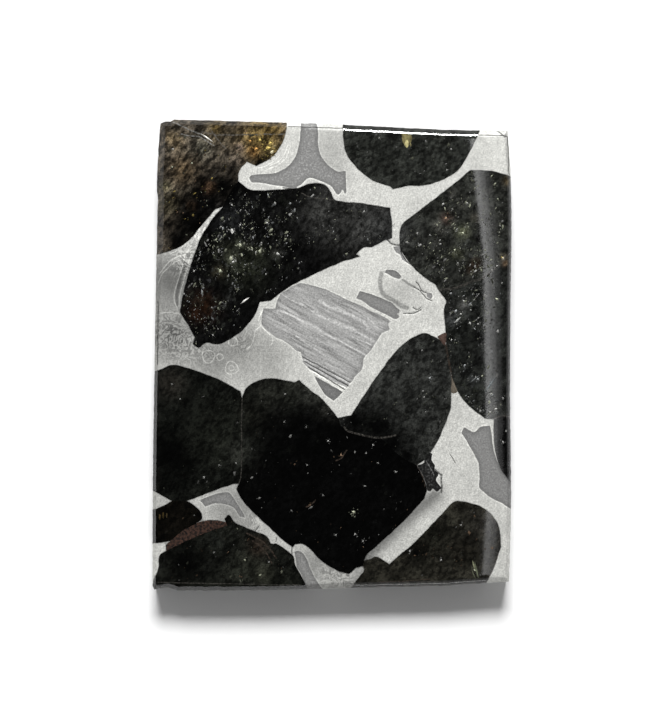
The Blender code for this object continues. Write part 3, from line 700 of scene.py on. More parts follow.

# Painted glints that stand out, as flakes lit in their colour: where, how far they reach and their colour
GLINTS = {
    "olivine_gold_corner": [
        (-7.2, 21.5, 0.26, GOLD), (-6.4, 20.7, 0.32, GOLD), (-6.0, 20.3, 0.26, (1.0, 0.9, 0.6)),
        (-6.2, 21.2, 0.3, GOLD), (-7.6, 20.6, 0.3, (0.8, 0.45, 0.15)), (-8.2, 21.4, 0.25, (0.8, 0.45, 0.15)),
        (-15.9, 20.6, 0.12, WHITE), (-16.0, 18.8, 0.14, GREEN), (-14.0, 19.2, 0.12, GREEN),
    ],
    "olivine_upper_left": [
        (-9.2, 11.0, 0.35, GREEN), (-10.1, 9.7, 0.38, GREEN), (-9.9, 9.3, 0.30, WHITE),
        (-11.2, 8.4, 0.32, GREEN), (-10.0, 12.4, 0.3, WHITE), (-7.2, 10.4, 0.3, GREEN),
        (-5.4, 10.1, 0.25, WHITE), (-13.8, 8.4, 0.16, WHITE), (-14.8, 6.1, 0.12, WHITE),
        (-10.0, 15.0, 0.15, WHITE), (-9.2, 13.0, 0.16, WHITE), (6.2, 13.0, 0.1, WHITE),
        (-6.5, 13.2, 0.16, WHITE), (-11.9, 2.0, 0.12, WHITE), (-6.6, 8.1, 0.12, WHITE),
    ],
    "olivine_top": [
        (4.7, 21.7, 0.12, WHITE), (7.5, 21.3, 0.35, (0.95, 0.85, 0.45)), (11.9, 20.6, 0.12, WHITE),
        (11.5, 18.5, 0.1, WHITE),
    ],
    "olivine_upper_right": [
        (11.1, 15.1, 0.14, WHITE), (13.5, 15.2, 0.12, WHITE), (11.4, 13.7, 0.2, BROWN),
        (13.1, 12.2, 0.2, GREEN), (12.3, 10.5, 0.18, GREEN), (10.5, 13.0, 0.18, GREEN),
        (17.0, 9.8, 0.12, GOLD), (9.8, 12.0, 0.1, WHITE), (12.6, 9.2, 0.1, WHITE),
        (16.0, 8.5, 0.14, WHITE), (16.5, 8.9, 0.12, WHITE), (17.1, 9.7, 0.2, (1.0, 0.9, 0.7)),
    ],
    "olivine_right": [
        (13.2, 5.4, 0.16, WHITE), (12.9, 4.1, 0.14, WHITE), (13.8, 3.2, 0.16, WHITE),
        (14.6, -2.4, 0.16, BLUE), (15.9, -3.9, 0.16, WHITE), (16.4, -5.4, 0.2, WHITE),
        (15.8, -5.7, 0.14, WHITE), (16.5, 5.6, 0.2, GREEN), (17.0, 7.2, 0.1, WHITE),
        (17.1, -4.3, 0.12, WHITE),
    ],
    "olivine_right_edge": [(17.1, -8.7, 0.14, WHITE), (17.4, -7.6, 0.1, WHITE)],
    "olivine_heart_right": [
        (9.1, -3.6, 0.1, WHITE), (9.2, -4.2, 0.1, WHITE), (9.0, 0.5, 0.1, WHITE), (9.8, -2.3, 0.2, BLUE),
    ],
    "olivine_heart_left": [
        (-4.7, -3.9, 0.12, WHITE), (-4.8, -6.7, 0.1, WHITE), (-2.6, -7.2, 0.1, WHITE),
        (-0.4, -8.6, 0.12, WHITE), (0.9, -10.0, 0.15, BROWN), (-2.5, -11.0, 0.1, WHITE),
        (2.3, -9.7, 0.1, WHITE), (3.4, -9.8, 0.1, WHITE), (4.1, -9.0, 0.14, WHITE),
        (4.6, -10.8, 0.1, WHITE), (6.4, -11.7, 0.13, WHITE), (3.3, -13.1, 0.1, WHITE),
        (-0.9, -14.0, 0.1, WHITE), (2.2, -15.7, 0.3, GREEN), (-2.2, -15.0, 0.12, BROWN),
        (2.3, -17.9, 0.16, WHITE), (3.1, -18.6, 0.15, WHITE), (0.4, -18.0, 0.1, WHITE),
    ],
    "olivine_left": [
        (-11.3, -11.0, 0.1, WHITE), (-9.6, -10.8, 0.1, WHITE), (-12.8, -12.2, 0.13, WHITE),
        (-15.2, -4.4, 0.1, WHITE), (-16.0, -2.9, 0.1, WHITE),
    ],
    "olivine_lower_left": [(-8.7, -20.5, 0.15, GREEN), (-7.2, -22.0, 0.15, GREEN), (-6.3, -20.7, 0.1, WHITE)],
    "olivine_lower_right": [
        (12.9, -17.0, 0.14, WHITE), (10.9, -20.5, 0.16, WHITE), (14.3, -21.5, 0.2, GREEN),
        (16.0, -19.3, 0.14, BROWN), (7.8, -19.6, 0.16, WHITE),
    ],
}

# A glint has this many flakes: a main one, and dim ones that lie about it at this share of its
# reach. Their sizes are shares of the reach too, and they are longer than wide by a factor.
GLINT_PIECES = 12
GLINT_SPREAD = 0.9
MAIN_SIZE = 0.65
DIM_SIZES = (0.12, 0.4)
# How light the main flake and the dim ones are: painted glint
MAIN_PAINTED_GLINT = 0.75
DIM_PAINTED_GLINTS = (0.03, 0.35)
GLINT_STRETCH = (1.0, 1.8)

# Lines farther off than this many half widths are not told apart, nor edges of fields and crystals
# farther off than this, in millimetres. The plan has points this many half widths from a line.
FARTHEST = 6.0
FARTHEST_EDGE = 2
BESIDE = 2.4
# What the materials of metal and crystals read from the mesh
METAL_MARKS = (
    "field", "field_tone", "field_grain", "striped", "light", "pale", "soft", "dark",
    "shade", "curls", "grain",
)
GLASS_MARKS = ("scratch", "seam", "vein", "crowd")

# Etched fields lie this much below the face, cracks this much, and field edges are this
# wide, in millimetres. Cracks end this many half widths from their middle.
ETCH_DEPTH = 0.015
CRACK_DEPTH = 0.04
RELIEF_EDGE = 0.1
CRACK_EDGE = 1.5
# Edges sharper than this stay sharp, in radians
SHARP = math.radians(25)

# Left of here the bevel meets the face in a plain edge, with the change this long, in
# millimetres, and its profile there
LIP_START = -3.0
LIP_FADE = 2.0
SHARP_IN = (0.0, 0.05, 0.12, 0.9, 1.10)
SHARP_DOWN = (1.0, 0.9, 0.82, 0.0, 0.0)

# The floor reaches this far, in millimetres, and is this light
FLOOR_SIDE = 600
FLOOR_WHITE = (0.86, 0.86, 0.86)
# The dome of light, as heights and how light it is there, and its strength
DOME = [(0.0, 1.0), (0.35, 1.0), (0.6, 0.75), (0.82, 0.3), (0.93, 0.05), (1.0, 0.035)]
DOME_STRENGTH = 0.52
# The main light behind the slab, in millimetres and watts
KEY_PLACE = (0, 715, 675)
KEY_SIDES = (340, 420)
KEY_WATTS = 16.5
# A low light in front of the slab, mirrored by its lower bevel
FRONT_PLACE = (0, -700, 140)
FRONT_SIDES = (125, 300)
FRONT_WATTS = 0.32
# The bent strip of light that the crystals mirror: the upper and lower end of each stretch, with
# its share of the light. To the right it fades in steps, as distances and watts for each square
# metre. Its width and height over the floor are in millimetres.
STRIPS = [
    ((40.7, 74), (46.0, 30), 1.0),
    ((46.0, 30), (47.2, -40), 0.95),
    ((47.2, -40), (45.2, -76), 0.65),
]
STRIP_STEPS = [(0.0, 8.5), (1.6, 5.0), (3.2, 1.3)]
STRIP_WIDTH = 1.6
STRIP_HEIGHT = 470

# The camera: its height over the face, the length of slab and floor it takes in, the middle of
# its view, its sensor, and how near it sees, in millimetres
CAMERA_HEIGHT = 234.0
VIEW_LENGTH = 70.2
VIEW_MIDDLE = (0.05, 0.4)
SENSOR = 36.0
NEAREST_SEEN = 10

# How clear the olivine is at its face, and how strong and how long its mottles are, with one apart
HAZE = (0.94, 1.0, 1.4)
GOLD_HAZE = (0.88, 1.5, 1.9)
GOLD_CRYSTAL = "olivine_gold_corner"
# How olivine bends light, the colour that it lets through and how strongly it takes in the rest
OLIVINE_IOR = 1.66
LET_THROUGH = (0.35, 0.34, 0.25)
ABSORPTION = 2600.0
# Colours of the painted glints on cleavage inside the olivine, of the two sorts of metal and of the rust
PAINTED_GLINT_TINTS = ((0.80, 0.90, 0.62), (0.90, 0.92, 0.95))
KAMACITE_TINT = (0.605, 0.605, 0.580)
FIELD_TINT = (0.590, 0.588, 0.577)
RUST_TINTS = ((0.0015, 0.001, 0.001), (0.040, 0.018, 0.011))


def smooth_curve(points):
    """Points about a step apart on a Catmull-Rom curve through some points, ends kept."""
    padded = [2 * points[0] - points[1], *points, 2 * points[-1] - points[-2]]
    curve = [points[0]]
    for a, b, c, d in zip(padded, padded[1:], padded[2:], padded[3:]):
        pieces = max(1, round((c - b).length / FINE_STEP))
        for i in range(1, pieces + 1):
            t = i / pieces
            bend = (2 * a - 5 * b + 4 * c - d) * t**2 + (3 * b - a - 3 * c + d) * t**3
            curve.append(b + (c - a) * t / 2 + bend / 2)
    return curve


def straight(a, b):
    """Points about a step apart on a straight line, the first left out."""
    pieces = max(1, round((b - a).length / FINE_STEP))
    return [a.lerp(b, i / pieces) for i in range(1, pieces + 1)]


def line_points(corners):
    """Fine points along one stretch."""
    points = [Vector(corner) for corner in corners]
    if len(points) > 2:
        return smooth_curve(points)
    return points[:1] + (straight(*points) if len(points) == 2 else [])


def roughened(points, reach):
    """Points moved a little by noise that depends on their place alone, so shared edges stay shared."""
    moved = []
    for point in points:
        shift = Vector((0, 0))
        for height, finer, share in ROUGH_LAYERS:
            shift += noise.noise_vector(Vector((*point, height)) / ROUGH_LENGTH * finer).xy * share
        moved.append(point + shift * reach)
    return np.array(moved)


def closed_ring(stretches, rough=ROUGH):
    """A closed outline as an array of fine points, anticlockwise."""
    ring = []
    for corners in stretches:
        points = line_points(corners)
        if ring:
            points = straight(ring[-1], points[0]) + points[1:]
        ring += [point for point in points if not ring or (point - ring[-1]).length > SAME_POINT]
    ring += straight(ring[-1], ring[0])[:-1]
    if (ring[0] - ring[-1]).length < SAME_POINT:
        ring.pop()
    ring = roughened(ring, rough)
    ahead = np.roll(ring, -1, axis=0)
    area = (ring[:, 0] * ahead[:, 1] - ring[:, 1] * ahead[:, 0]).sum()
    return ring if area > 0 else ring[::-1]


def closed_line(ring):
    """A ring as a line that ends where it starts."""
    return np.vstack((ring, ring[:1]))


def open_line(corners):
    """An open line as an array of fine points."""
    return roughened(line_points(corners), ROUGH)


def circle(x, y, reach):
    """A slightly wavy ring round a middle, as a line that ends where it starts."""
    turns = np.linspace(0, 2 * math.pi, RING_CORNERS)
    reach = reach * (1 + RING_WAVE * np.sin(3 * turns + x))
    return np.column_stack((x + reach * np.cos(turns), y + reach * np.sin(turns)))


def left_of(directions):
    """Unit directions to the left of some directions."""
    turned = np.column_stack((-directions[:, 1], directions[:, 0]))
    return turned / np.linalg.norm(turned, axis=1, keepdims=True)


def beside(line, distance):
    """Points on both sides of an open line, at a distance from it."""
    across = left_of(np.gradient(line, axis=0)) * distance
    return np.vstack((line + across, line - across))


def offset_ring(ring, distances):
    """A ring moved inwards by a distance for each of its points."""
    ahead = np.roll(ring, -2, axis=0) - np.roll(ring, 2, axis=0)
    return ring + left_of(ahead) * distances[:, None]


def inside(points, ring):
    """Which points lie inside a closed ring."""
    x, y = points.T
    within = np.zeros(len(points), bool)
    for (ax, ay), (bx, by) in zip(ring, np.roll(ring, -1, axis=0)):
        crosses = (ay > y) != (by > y)
        crosses[crosses] = x[crosses] < (bx - ax) * (y[crosses] - ay) / (by - ay) + ax
        within ^= crosses
    return within


class Nearest:
    """Finds which of many lines is nearest to a point, and how far off it is."""

    def __init__(self, lines):
        places = []
        self.owners = []
        for number, line in enumerate(lines):
            for a, b in zip(line, line[1:]):
                pieces = max(1, math.ceil(np.linalg.norm(b - a) / SAMPLE))
                places += [a + (b - a) * i / pieces for i in range(pieces)]
                self.owners += [number] * pieces
            places.append(line[-1])
            self.owners.append(number)
        self.tree = KDTree(len(places))
        for number, (x, y) in enumerate(places):
            self.tree.insert((x, y, 0), number)
        self.tree.balance()

    def find(self, points):
        """The distance to the nearest line from each point, and that line's number."""
        found = [self.tree.find((x, y, 0)) for x, y in points]
        away = np.array([hit[2] for hit in found])
        return away, np.array([self.owners[hit[1]] for hit in found])


def signed(points, rings):
    """Distance to the nearest of some closed rings, above 0 inside one, and that ring's number."""
    away, number = Nearest([closed_line(ring) for ring in rings]).find(points)
    within = np.zeros(len(points), bool)
    for ring in rings:
        within |= inside(points, ring)
    return np.where(within, away, -away), number


def smooth(values):
    """Values from 0 to 1 with a smooth start and end."""
    share = np.clip(values, 0, 1)
    return share * share * (3 - 2 * share)


def bevel_width(points):
    """How wide the bevel is along the rim, at each point, in millimetres."""
    x, y = points.T
    left = np.interp(y, LEFT_WIDENS, (BEVEL_WIDTHS["left_low"], BEVEL_WIDTHS["left_top"]))
    side = np.where(x < 0, left, BEVEL_WIDTHS["right"])
    end = np.where(y > 0, BEVEL_WIDTHS["top"], BEVEL_WIDTHS["bottom"])
    to_side = RIM_SIDE - np.abs(x)
    to_end = RIM_END - np.abs(y)
    share = smooth((to_side - to_end) / CORNER_BLEND + 0.5)
    return side * (1 - share) + end * share


def jittered_grid(cell, rng):
    """Loose points over the whole slab, about a cell apart, with every other row moved by half a cell."""
    rows = np.arange(-GRID_END, GRID_END, cell * ROW_SPACING)
    x, y = np.meshgrid(np.arange(-GRID_SIDE, GRID_SIDE, cell), rows)
    x = x + (np.arange(len(x)) % 2)[:, None] * cell / 2
    places = np.column_stack((x.ravel(), y.ravel()))
    return places + rng.uniform(-JITTER, JITTER, places.shape) * cell


class Plan:
    """The slab seen from above: corners, triangles and which piece each triangle is in."""

    def __init__(self):
        self.rim = closed_ring(SLAB, RIM_ROUGH)
        self.crystals = {name: closed_ring(stretches) for name, stretches in CRYSTALS.items()}
        self.crystals["rust_seam"] = closed_ring(RUST_SEAM)
        self.fields = [closed_ring(stretches) for stretches, tone, grain in GREY_FIELDS]
        self.lines = {
            mark: [(half, open_line(corners)) for half, corners in lines] for mark, lines in LINES.items()
        }
        self.lines["pale"] += [(RING_HALF, circle(*ring)) for ring in RINGS]
        self.cut()
        self.label()

    def all_lines(self):
        """Every marked line with half its width."""
        return [entry for lines in self.lines.values() for entry in lines]

    def marks(self):
        """Every line inside the slab that the triangles keep to."""
        closed = [closed_line(ring) for ring in (*self.crystals.values(), *self.fields)]
        return closed + [line for half, line in self.all_lines()]

    def bevel_lines(self):
        """The lines round the slab that the triangles keep to."""
        width = bevel_width(self.rim)
        return [closed_line(offset_ring(self.rim, width * share)) for share in PROFILE_IN]

    def loose_points(self):
        """Points between the lines, closer together in the metal."""
        rng = np.random.default_rng(GRID_SEED)
        metal = jittered_grid(METAL_CELL, rng)
        glass = jittered_grid(CRYSTAL_CELL, rng)
        in_glass = np.zeros(len(metal), bool)
        keep_glass = np.zeros(len(glass), bool)
        for ring in self.crystals.values():
            in_glass |= inside(metal, ring)
            keep_glass |= inside(glass, ring)
        places = np.vstack((metal[~in_glass], glass[keep_glass]))
        from_rim, _ = signed(places, [self.rim])
        places = places[from_rim > bevel_width(places) * PROFILE_IN[-1] + METAL_CELL / 2]
        from_mark, _ = Nearest(self.marks()).find(places)
        return places[from_mark > METAL_CELL * CLEAR]

    def cut(self):
        """Cuts the plan in triangles along the lines."""
        points = []
        edges = []
        for line in self.marks() + self.bevel_lines():
            edges += [(len(points) + i, len(points) + i + 1) for i in range(len(line) - 1)]
            points += [Vector(point) for point in line]
        points += [Vector(point) for point in self.loose_points()]
        points += [Vector((x, y)) for x, y, reach in RINGS]
        for half, line in self.all_lines():
            points += [Vector(point) for point in beside(line, half * BESIDE)]
        corners, _, faces, *_ = delaunay_2d_cdt(points, edges, [], 0, TOUCHING)
        self.corners = np.array([tuple(corner) for corner in corners])
        self.faces = np.array([tuple(face) for face in faces])
        sides = self.corners[self.faces]
        first, second = sides[:, 1] - sides[:, 0], sides[:, 2] - sides[:, 0]
        turned = first[:, 0] * second[:, 1] - first[:, 1] * second[:, 0] < 0
        self.faces[turned] = self.faces[turned][:, ::-1]
        self.middles = sides.mean(1)
        keep = inside(self.middles, self.rim)
        self.faces = self.faces[keep]
        self.middles = self.middles[keep]

    def label(self):
        """Names the piece that each triangle is in."""
        self.names = np.full(len(self.faces), "", dtype="U24")
        for name, ring in self.crystals.items():
            here = inside(self.middles, ring) & (self.names == "")
            self.names[here] = name
        touching = Nearest([closed_line(ring) for ring in self.crystals.values()])
        for island in self.islands(np.flatnonzero(self.names == "")):
            corners = self.corners[np.unique(self.faces[island])]
            to_spot = {
                name: np.linalg.norm(corners - spot, axis=1).min() for name, spot in METAL.items()
            }
            name = min(to_spot, key=to_spot.get)
            if len(island) < CRUMB:
                _, ring = touching.find(self.middles[island[:1]])
                name = list(self.crystals)[ring[0]]
            self.names[island] = name

    def islands(self, loose):
        """Groups of triangles that share sides."""
        by_side = {}
        for face in loose:
            a, b, c = self.faces[face]
            for side in ((a, b), (b, c), (c, a)):
                by_side.setdefault((min(side), max(side)), []).append(face)
        neighbours = {face: [] for face in loose}
        for pair in by_side.values():
            if len(pair) == 2:
                neighbours[pair[0]].append(pair[1])
                neighbours[pair[1]].append(pair[0])
        groups = []
        left = set(loose)
        while left:
            group = [left.pop()]
            for face in group:
                for other in neighbours[face]:
                    if other in left:
                        left.remove(other)
                        group.append(other)
            groups.append(np.array(group))
        return groups


def soft_spots(points, spots, start):
    """A value or a colour for each point: the start, blended towards those of soft spots."""
    values = np.tile(np.array(start, float), (len(points), 1))
    for middle, reach, value in spots:
        share = np.exp(-((points - middle) ** 2).sum(1) / reach**2)[:, None]
        values += (np.array(value) - values) * share
    return values.squeeze()


def line_nearness(points, lines):
    """How far points are from the nearest of some lines, in halves of that line's width."""
    halves = np.array([half for half, line in lines])
    away, number = Nearest([line for half, line in lines]).find(points)
    return np.minimum(away / halves[number], FARTHEST)


def plan_marks(plan):
    """What the materials need to know about each corner of the plan."""
    points = plan.corners
    field, number = signed(points, plan.fields)
    tones = np.array([tone for stretches, tone, grain in GREY_FIELDS])
    grains = np.array([grain for stretches, tone, grain in GREY_FIELDS])
    bar_reach, bar = BAR_SHADE
    from_bar, _ = Nearest([open_line(bar)]).find(points)
    shade = soft_spots(points, SHADES, 1.0)
    shade *= 1 - BAR_DARKENS * np.exp(-(from_bar / bar_reach) ** 2)
    from_grain, _ = signed(points, list(plan.crystals.values()))
    return {
        "field": np.clip(field, -FARTHEST_EDGE, FARTHEST_EDGE),
        "field_tone": tones[number],
        "field_grain": grains[number],
        "striped": inside(points, plan.fields[STRIPED]).astype(float),
        **{mark: line_nearness(points, lines) for mark, lines in plan.lines.items()},
        "shade": shade,
        "curls": soft_spots(points, CURLS, 0.0),
        "grain": np.clip(from_grain, -FARTHEST_EDGE, FARTHEST_EDGE),
        "crowd": soft_spots(points, FLAW_CROWDS, FLAW_SHARE),
    }


def slab_depths(plan, marks):
    """How far the bevel and the etched relief lie below the front at each corner of the plan."""
    from_rim, _ = signed(plan.corners, [plan.rim])
    from_rim = np.clip(from_rim, 0, None)
    share = from_rim / bevel_width(plan.corners)
    lip = smooth((plan.corners[:, 0] - LIP_START) / LIP_FADE)
    rounded = np.interp(share, PROFILE_IN, PROFILE_DOWN)
    sharp = np.interp(share, SHARP_IN, SHARP_DOWN)
    etched = smooth(marks["field"] / RELIEF_EDGE + 0.5)
    cracked = smooth(CRACK_EDGE - marks["dark"])
    return {
        "down": BEVEL_DEPTH * (sharp + (rounded - sharp) * lip),
        "relief": (ETCH_DEPTH * etched + CRACK_DEPTH * cracked) * (marks["grain"] < 0),
        "from_rim": from_rim,
    }


def lean_back(points, from_rim):
    """Where points of the front come out at the back, as the walls of the crystals lean."""
    reach = LEAN * smooth(from_rim / LEAN_FADE)
    turn = 2 * math.pi / LEAN_WAVE
    x, y = points.T
    shift = np.column_stack((np.sin(turn * y + LEAN_PHASE), np.cos(turn * x)))
    return points + shift * reach[:, None]


def outward(points, walls):
    """A unit direction out of the piece for each corner on its edge, and none for the rest."""
    out = np.zeros_like(points)
    across = -left_of(points[walls[:, 1]] - points[walls[:, 0]])
    np.add.at(out, walls[:, 0], across)
    np.add.at(out, walls[:, 1], across)
    length = np.linalg.norm(out, axis=1, keepdims=True)
    return np.divide(out, length, out=np.zeros_like(out), where=length > 0)


def keep_mark(mesh, name, values):
    """Keeps a value for each corner on a mesh, where its material reads it."""
    layer = mesh.attributes.new(name, "FLOAT", "POINT")
    layer.data.foreach_set("value", values.astype(np.float32))


def keep_tint(mesh, colours):
    """Keeps a colour for each corner on a mesh, where its material reads it."""
    layer = mesh.attributes.new("tint", "FLOAT_COLOR", "POINT")
    solid = np.column_stack((colours, np.ones(len(colours))))
    layer.data.foreach_set("color", solid.astype(np.float32).ravel())


def solid_mesh(name, plan, marks, depths):
    """One piece: its part of the plan on the front, the same leaned on the back, and walls."""
    used, faces = np.unique(plan.faces[plan.names == name], return_inverse=True)
    faces = faces.reshape(-1, 3)
    front = plan.corners[used]
    count = len(used)
    sides = np.vstack((faces[:, [0, 1]], faces[:, [1, 2]], faces[:, [2, 0]]))
    known = {tuple(side) for side in sides}
    walls = np.array([side for side in sides if (side[1], side[0]) not in known])
    front = front - outward(front, walls) * WALL_GAP
    back = lean_back(front, depths["from_rim"][used])
    down, relief = depths["down"][used], depths["relief"][used]
    high = np.column_stack((front, THICKNESS - down - relief))
    low = np.column_stack((back, down))
    quads = np.column_stack((walls[:, 1], walls[:, 0], walls[:, 0] + count, walls[:, 1] + count))
    all_faces = faces.tolist() + (faces[:, ::-1] + count).tolist() + quads.tolist()
    mesh = bpy.data.meshes.new(name)
    mesh.from_pydata(np.vstack((high, low)) * MM, [], all_faces)
    for mark, values in marks.items():
        keep_mark(mesh, mark, np.tile(values[used], 2))
    mesh.shade_smooth()
    mesh.set_sharp_from_angle(angle=SHARP)
    return mesh


class Look:
    """A material being built, with short calls for the nodes it is made of."""

    def __init__(self, name, roughness, specular=0.5):
        self.material = bpy.data.materials.new(name)
        self.material.use_nodes = True
        self.tree = self.material.node_tree
        self.shader = self.tree.nodes["Principled BSDF"]
        self.set(**{"Roughness": roughness, "Specular IOR Level": specular})
        place = self.node("TexCoord").outputs["Object"]
        scale = self.node("VectorMath", operation="SCALE")
        self.feed(scale.inputs[0], place)
        scale.inputs["Scale"].default_value = 1 / MM
        self.place = scale.outputs[0]

    def set(self, **values):
        """Puts plain values or links on the shader's own sockets."""
        for socket, value in values.items():
            self.feed(self.shader.inputs[socket], value)

    def node(self, kind, **settings):
        """A new node with its settings."""
        made = self.tree.nodes.new("ShaderNode" + kind)
        for setting, value in settings.items():
            setattr(made, setting, value)
        return made

    def feed(self, socket, value):
        """Links a socket to another one, or sets its value, a colour by its three numbers."""
        if isinstance(value, bpy.types.NodeSocket):
            self.tree.links.new(value, socket)
        else:
            socket.default_value = (*value, 1) if isinstance(value, tuple) else value

    def mark(self, name):
        """A value kept on the mesh."""
        return self.node("Attribute", attribute_name=name).outputs["Fac"]

    def tint(self):
        """The colour kept on the mesh."""
        return self.node("Attribute", attribute_name="tint").outputs["Color"]

    def math(self, operation, first, second):
        """Two values put together by an operation."""
        made = self.node("Math", operation=operation)
        self.feed(made.inputs[0], first)
        self.feed(made.inputs[1], second)
        return made.outputs[0]

    def times(self, first, second):
        """One value times another."""
        return self.math("MULTIPLY", first, second)

    def plus(self, first, second):
        """Two values added up."""
        return self.math("ADD", first, second)

    def band(self, value, start, end, low=0.0, high=1.0):
        """From low to high as a value goes from start to end, smooth at both."""
        made = self.node("MapRange", interpolation_type="SMOOTHSTEP")
        for socket, number in zip(made.inputs, (value, start, end, low, high)):
            self.feed(socket, number)
        return made.outputs[0]

    def line(self, name, start, end, strength):
        """How strongly the lines of one mark show, fading in from start to end half widths away."""
        return self.times(self.band(self.mark(name), start, end), strength)

    def mix(self, share, first, second, blend="MIX"):
        """A mix of two colours."""
        made = self.node("Mix", data_type="RGBA", blend_type=blend)
        for number, value in ((0, share), (6, first), (7, second)):
            self.feed(made.inputs[number], value)
        return made.outputs[2]

    def blend(self, share, first, second):
        """A mix of two values."""
        made = self.node("Mix", data_type="FLOAT")
        for number, value in ((0, share), (2, first), (3, second)):
            self.feed(made.inputs[number], value)
        return made.outputs[0]

    def shaded(self, colour, value):
        """A colour made darker or lighter by a value."""
        grey = self.node("CombineColor")
        for socket in grey.inputs:
            self.feed(socket, value)
        return self.mix(1.0, colour, grey.outputs[0], "MULTIPLY")

    def turned(self, degrees, stretch):
        """The place, turned about Z and then squeezed along X, for streaks."""
        made = self.node("Mapping", vector_type="TEXTURE")
        self.feed(made.inputs["Vector"], self.place)
        made.inputs["Rotation"].default_value = (0, 0, math.radians(degrees))
        made.inputs["Scale"].default_value = (stretch, 1, 1)
        return made.outputs[0]

    def noise(self, scale, detail=2.0, place=None, roughness=0.5, distortion=0.0):
        """Noise with a scale in features for each millimetre."""
        made = self.node("TexNoise")
        self.feed(made.inputs["Vector"], place or self.place)
        for socket, value in zip(made.inputs[2:], (scale, detail, roughness)):
            self.feed(socket, value)
        made.inputs["Distortion"].default_value = distortion
        return made.outputs[0]

    def noise_colour(self, scale):
        """Noise in three channels, for bending a place."""
        made = self.node("TexNoise")
        self.feed(made.inputs["Vector"], self.place)
        made.inputs["Scale"].default_value = scale
        return made.outputs["Color"]

    def random_cells(self, scale, place):
        """Two random values for each cell of a pattern with a scale for each millimetre."""
        made = self.node("TexVoronoi")
        self.feed(made.inputs["Vector"], place)
        made.inputs["Scale"].default_value = scale
        parts = self.node("SeparateColor")
        self.feed(parts.inputs[0], made.outputs["Color"])
        return parts.outputs[0], parts.outputs[1]

    def bump(self, height, strength, depth):
        """Roughens the surface by a height pattern, with its depth in millimetres."""
        made = self.node("Bump")
        self.feed(made.inputs["Height"], height)
        made.inputs["Strength"].default_value = strength
        made.inputs["Distance"].default_value = depth * MM
        self.set(Normal=made.outputs[0])


def metal_look():
    """Nickel iron, polished and etched: bright kamacite, grey fields, lines, curls and cracks."""
    look = Look("nickel_iron_etched", roughness=0.75)
    fine = look.noise(6.5, 3.0, roughness=0.7)
    coarse = look.noise(4.5, 3.0, roughness=0.6)
    tone = kamacite_tone(look, fine)
    field = look.mark("field")
    in_field = look.band(field, -0.02, 0.04)
    tone = look.blend(in_field, tone, field_tone(look, field, fine, coarse))
    tone = look.plus(tone, curl_tone(look, coarse))

    for mark, least, most in (("light", 0.10, 0.34), ("pale", 0.14, 0.34)):
        line = look.line(mark, 1.5, 0.3, look.band(coarse, 0.35, 0.6, least, most))
        tone = look.plus(tone, line)
    for mark, least, most in (("soft", 0.2, 0.45), ("dark", 0.35, 0.75)):
        line = look.line(mark, 1.6, 0.5, look.band(coarse, 0.3, 0.5, least, most))
        tone = look.times(tone, look.math("SUBTRACT", 1.0, line))
    tone = look.times(tone, look.band(look.mark("grain"), -0.10, -0.01, 1.0, 0.6))

    tint = look.mix(in_field, KAMACITE_TINT, FIELD_TINT)
    look.set(**{"Base Color": look.shaded(tint, tone), "Metallic": 1.0})
    look.set(Roughness=look.band(fine, 0.2, 0.8, 0.70, 0.82))
    look.bump(look.plus(look.noise(12.0, 2.0), coarse), 0.4, 0.006)
    return look.material


def kamacite_tone(look, fine):
    """The bright metal: soft clouds, fine grain, faint scratches and a light line beside the fields."""
    clouds = look.noise(0.45, 3.0)
    tone = look.times(look.band(clouds, 0.25, 0.75, 0.93, 1.05), look.mark("shade"))
    tone = look.times(tone, look.band(fine, 0.25, 0.75, 0.70, 1.24))
    tone = look.times(tone, look.band(look.noise(2.2, 3.0, roughness=0.7), 0.3, 0.7, 0.91, 1.07))
    scratches = look.noise(6.0, 2.0, look.turned(68, 4.0))
    tone = look.times(tone, look.band(scratches, 0.3, 0.7, 1.05, 0.94))
    field = look.mark("field")
    border = look.times(look.band(field, -0.16, -0.05), look.band(field, 0.02, -0.03))
    return look.plus(tone, look.times(border, 0.15))


def field_tone(look, field, fine, coarse):
    """The grey fields: darker towards their edges, with light specks and, in one, soft stripes."""
    grainy = look.mark("field_grain")
    tone = look.times(look.mark("field_tone"), look.band(field, 0.02, 0.5, 0.82, 1.02))
    specks = look.times(look.band(coarse, 0.45, 0.68), look.band(field, 0.1, 0.6, 0.3, 1.0))
    tone = look.plus(tone, look.times(look.times(specks, grainy), 0.20))
    tone = look.times(tone, look.band(fine, 0.25, 0.75, 0.66, 1.30))
    stripes = look.noise(3.6, 3.0, look.turned(STRIPES_RUN, 10.0), roughness=0.6)
    stripes = look.times(look.band(stripes, 0.3, 0.72, -0.17, 0.17), look.mark("striped"))
    uneven = look.band(look.noise(0.9, 3.0, look.turned(STRIPES_RUN, 2.0)), 0.35, 0.65, 0.5, 1.4)
    return look.plus(tone, look.times(stripes, uneven))


def curl_tone(look, coarse):
    """Fine curls etched in the metal, light along their ridges and dark between them."""
    wander = look.noise(1.0, 2.0, distortion=1.6)
    contour = look.math("PINGPONG", look.times(wander, 4.5), 0.5)
    ridge = look.band(contour, 0.12, 0.42, -0.13, 0.26)
    return look.times(look.times(ridge, look.mark("curls")), look.band(coarse, 0.3, 0.5, 0.4, 1.0))


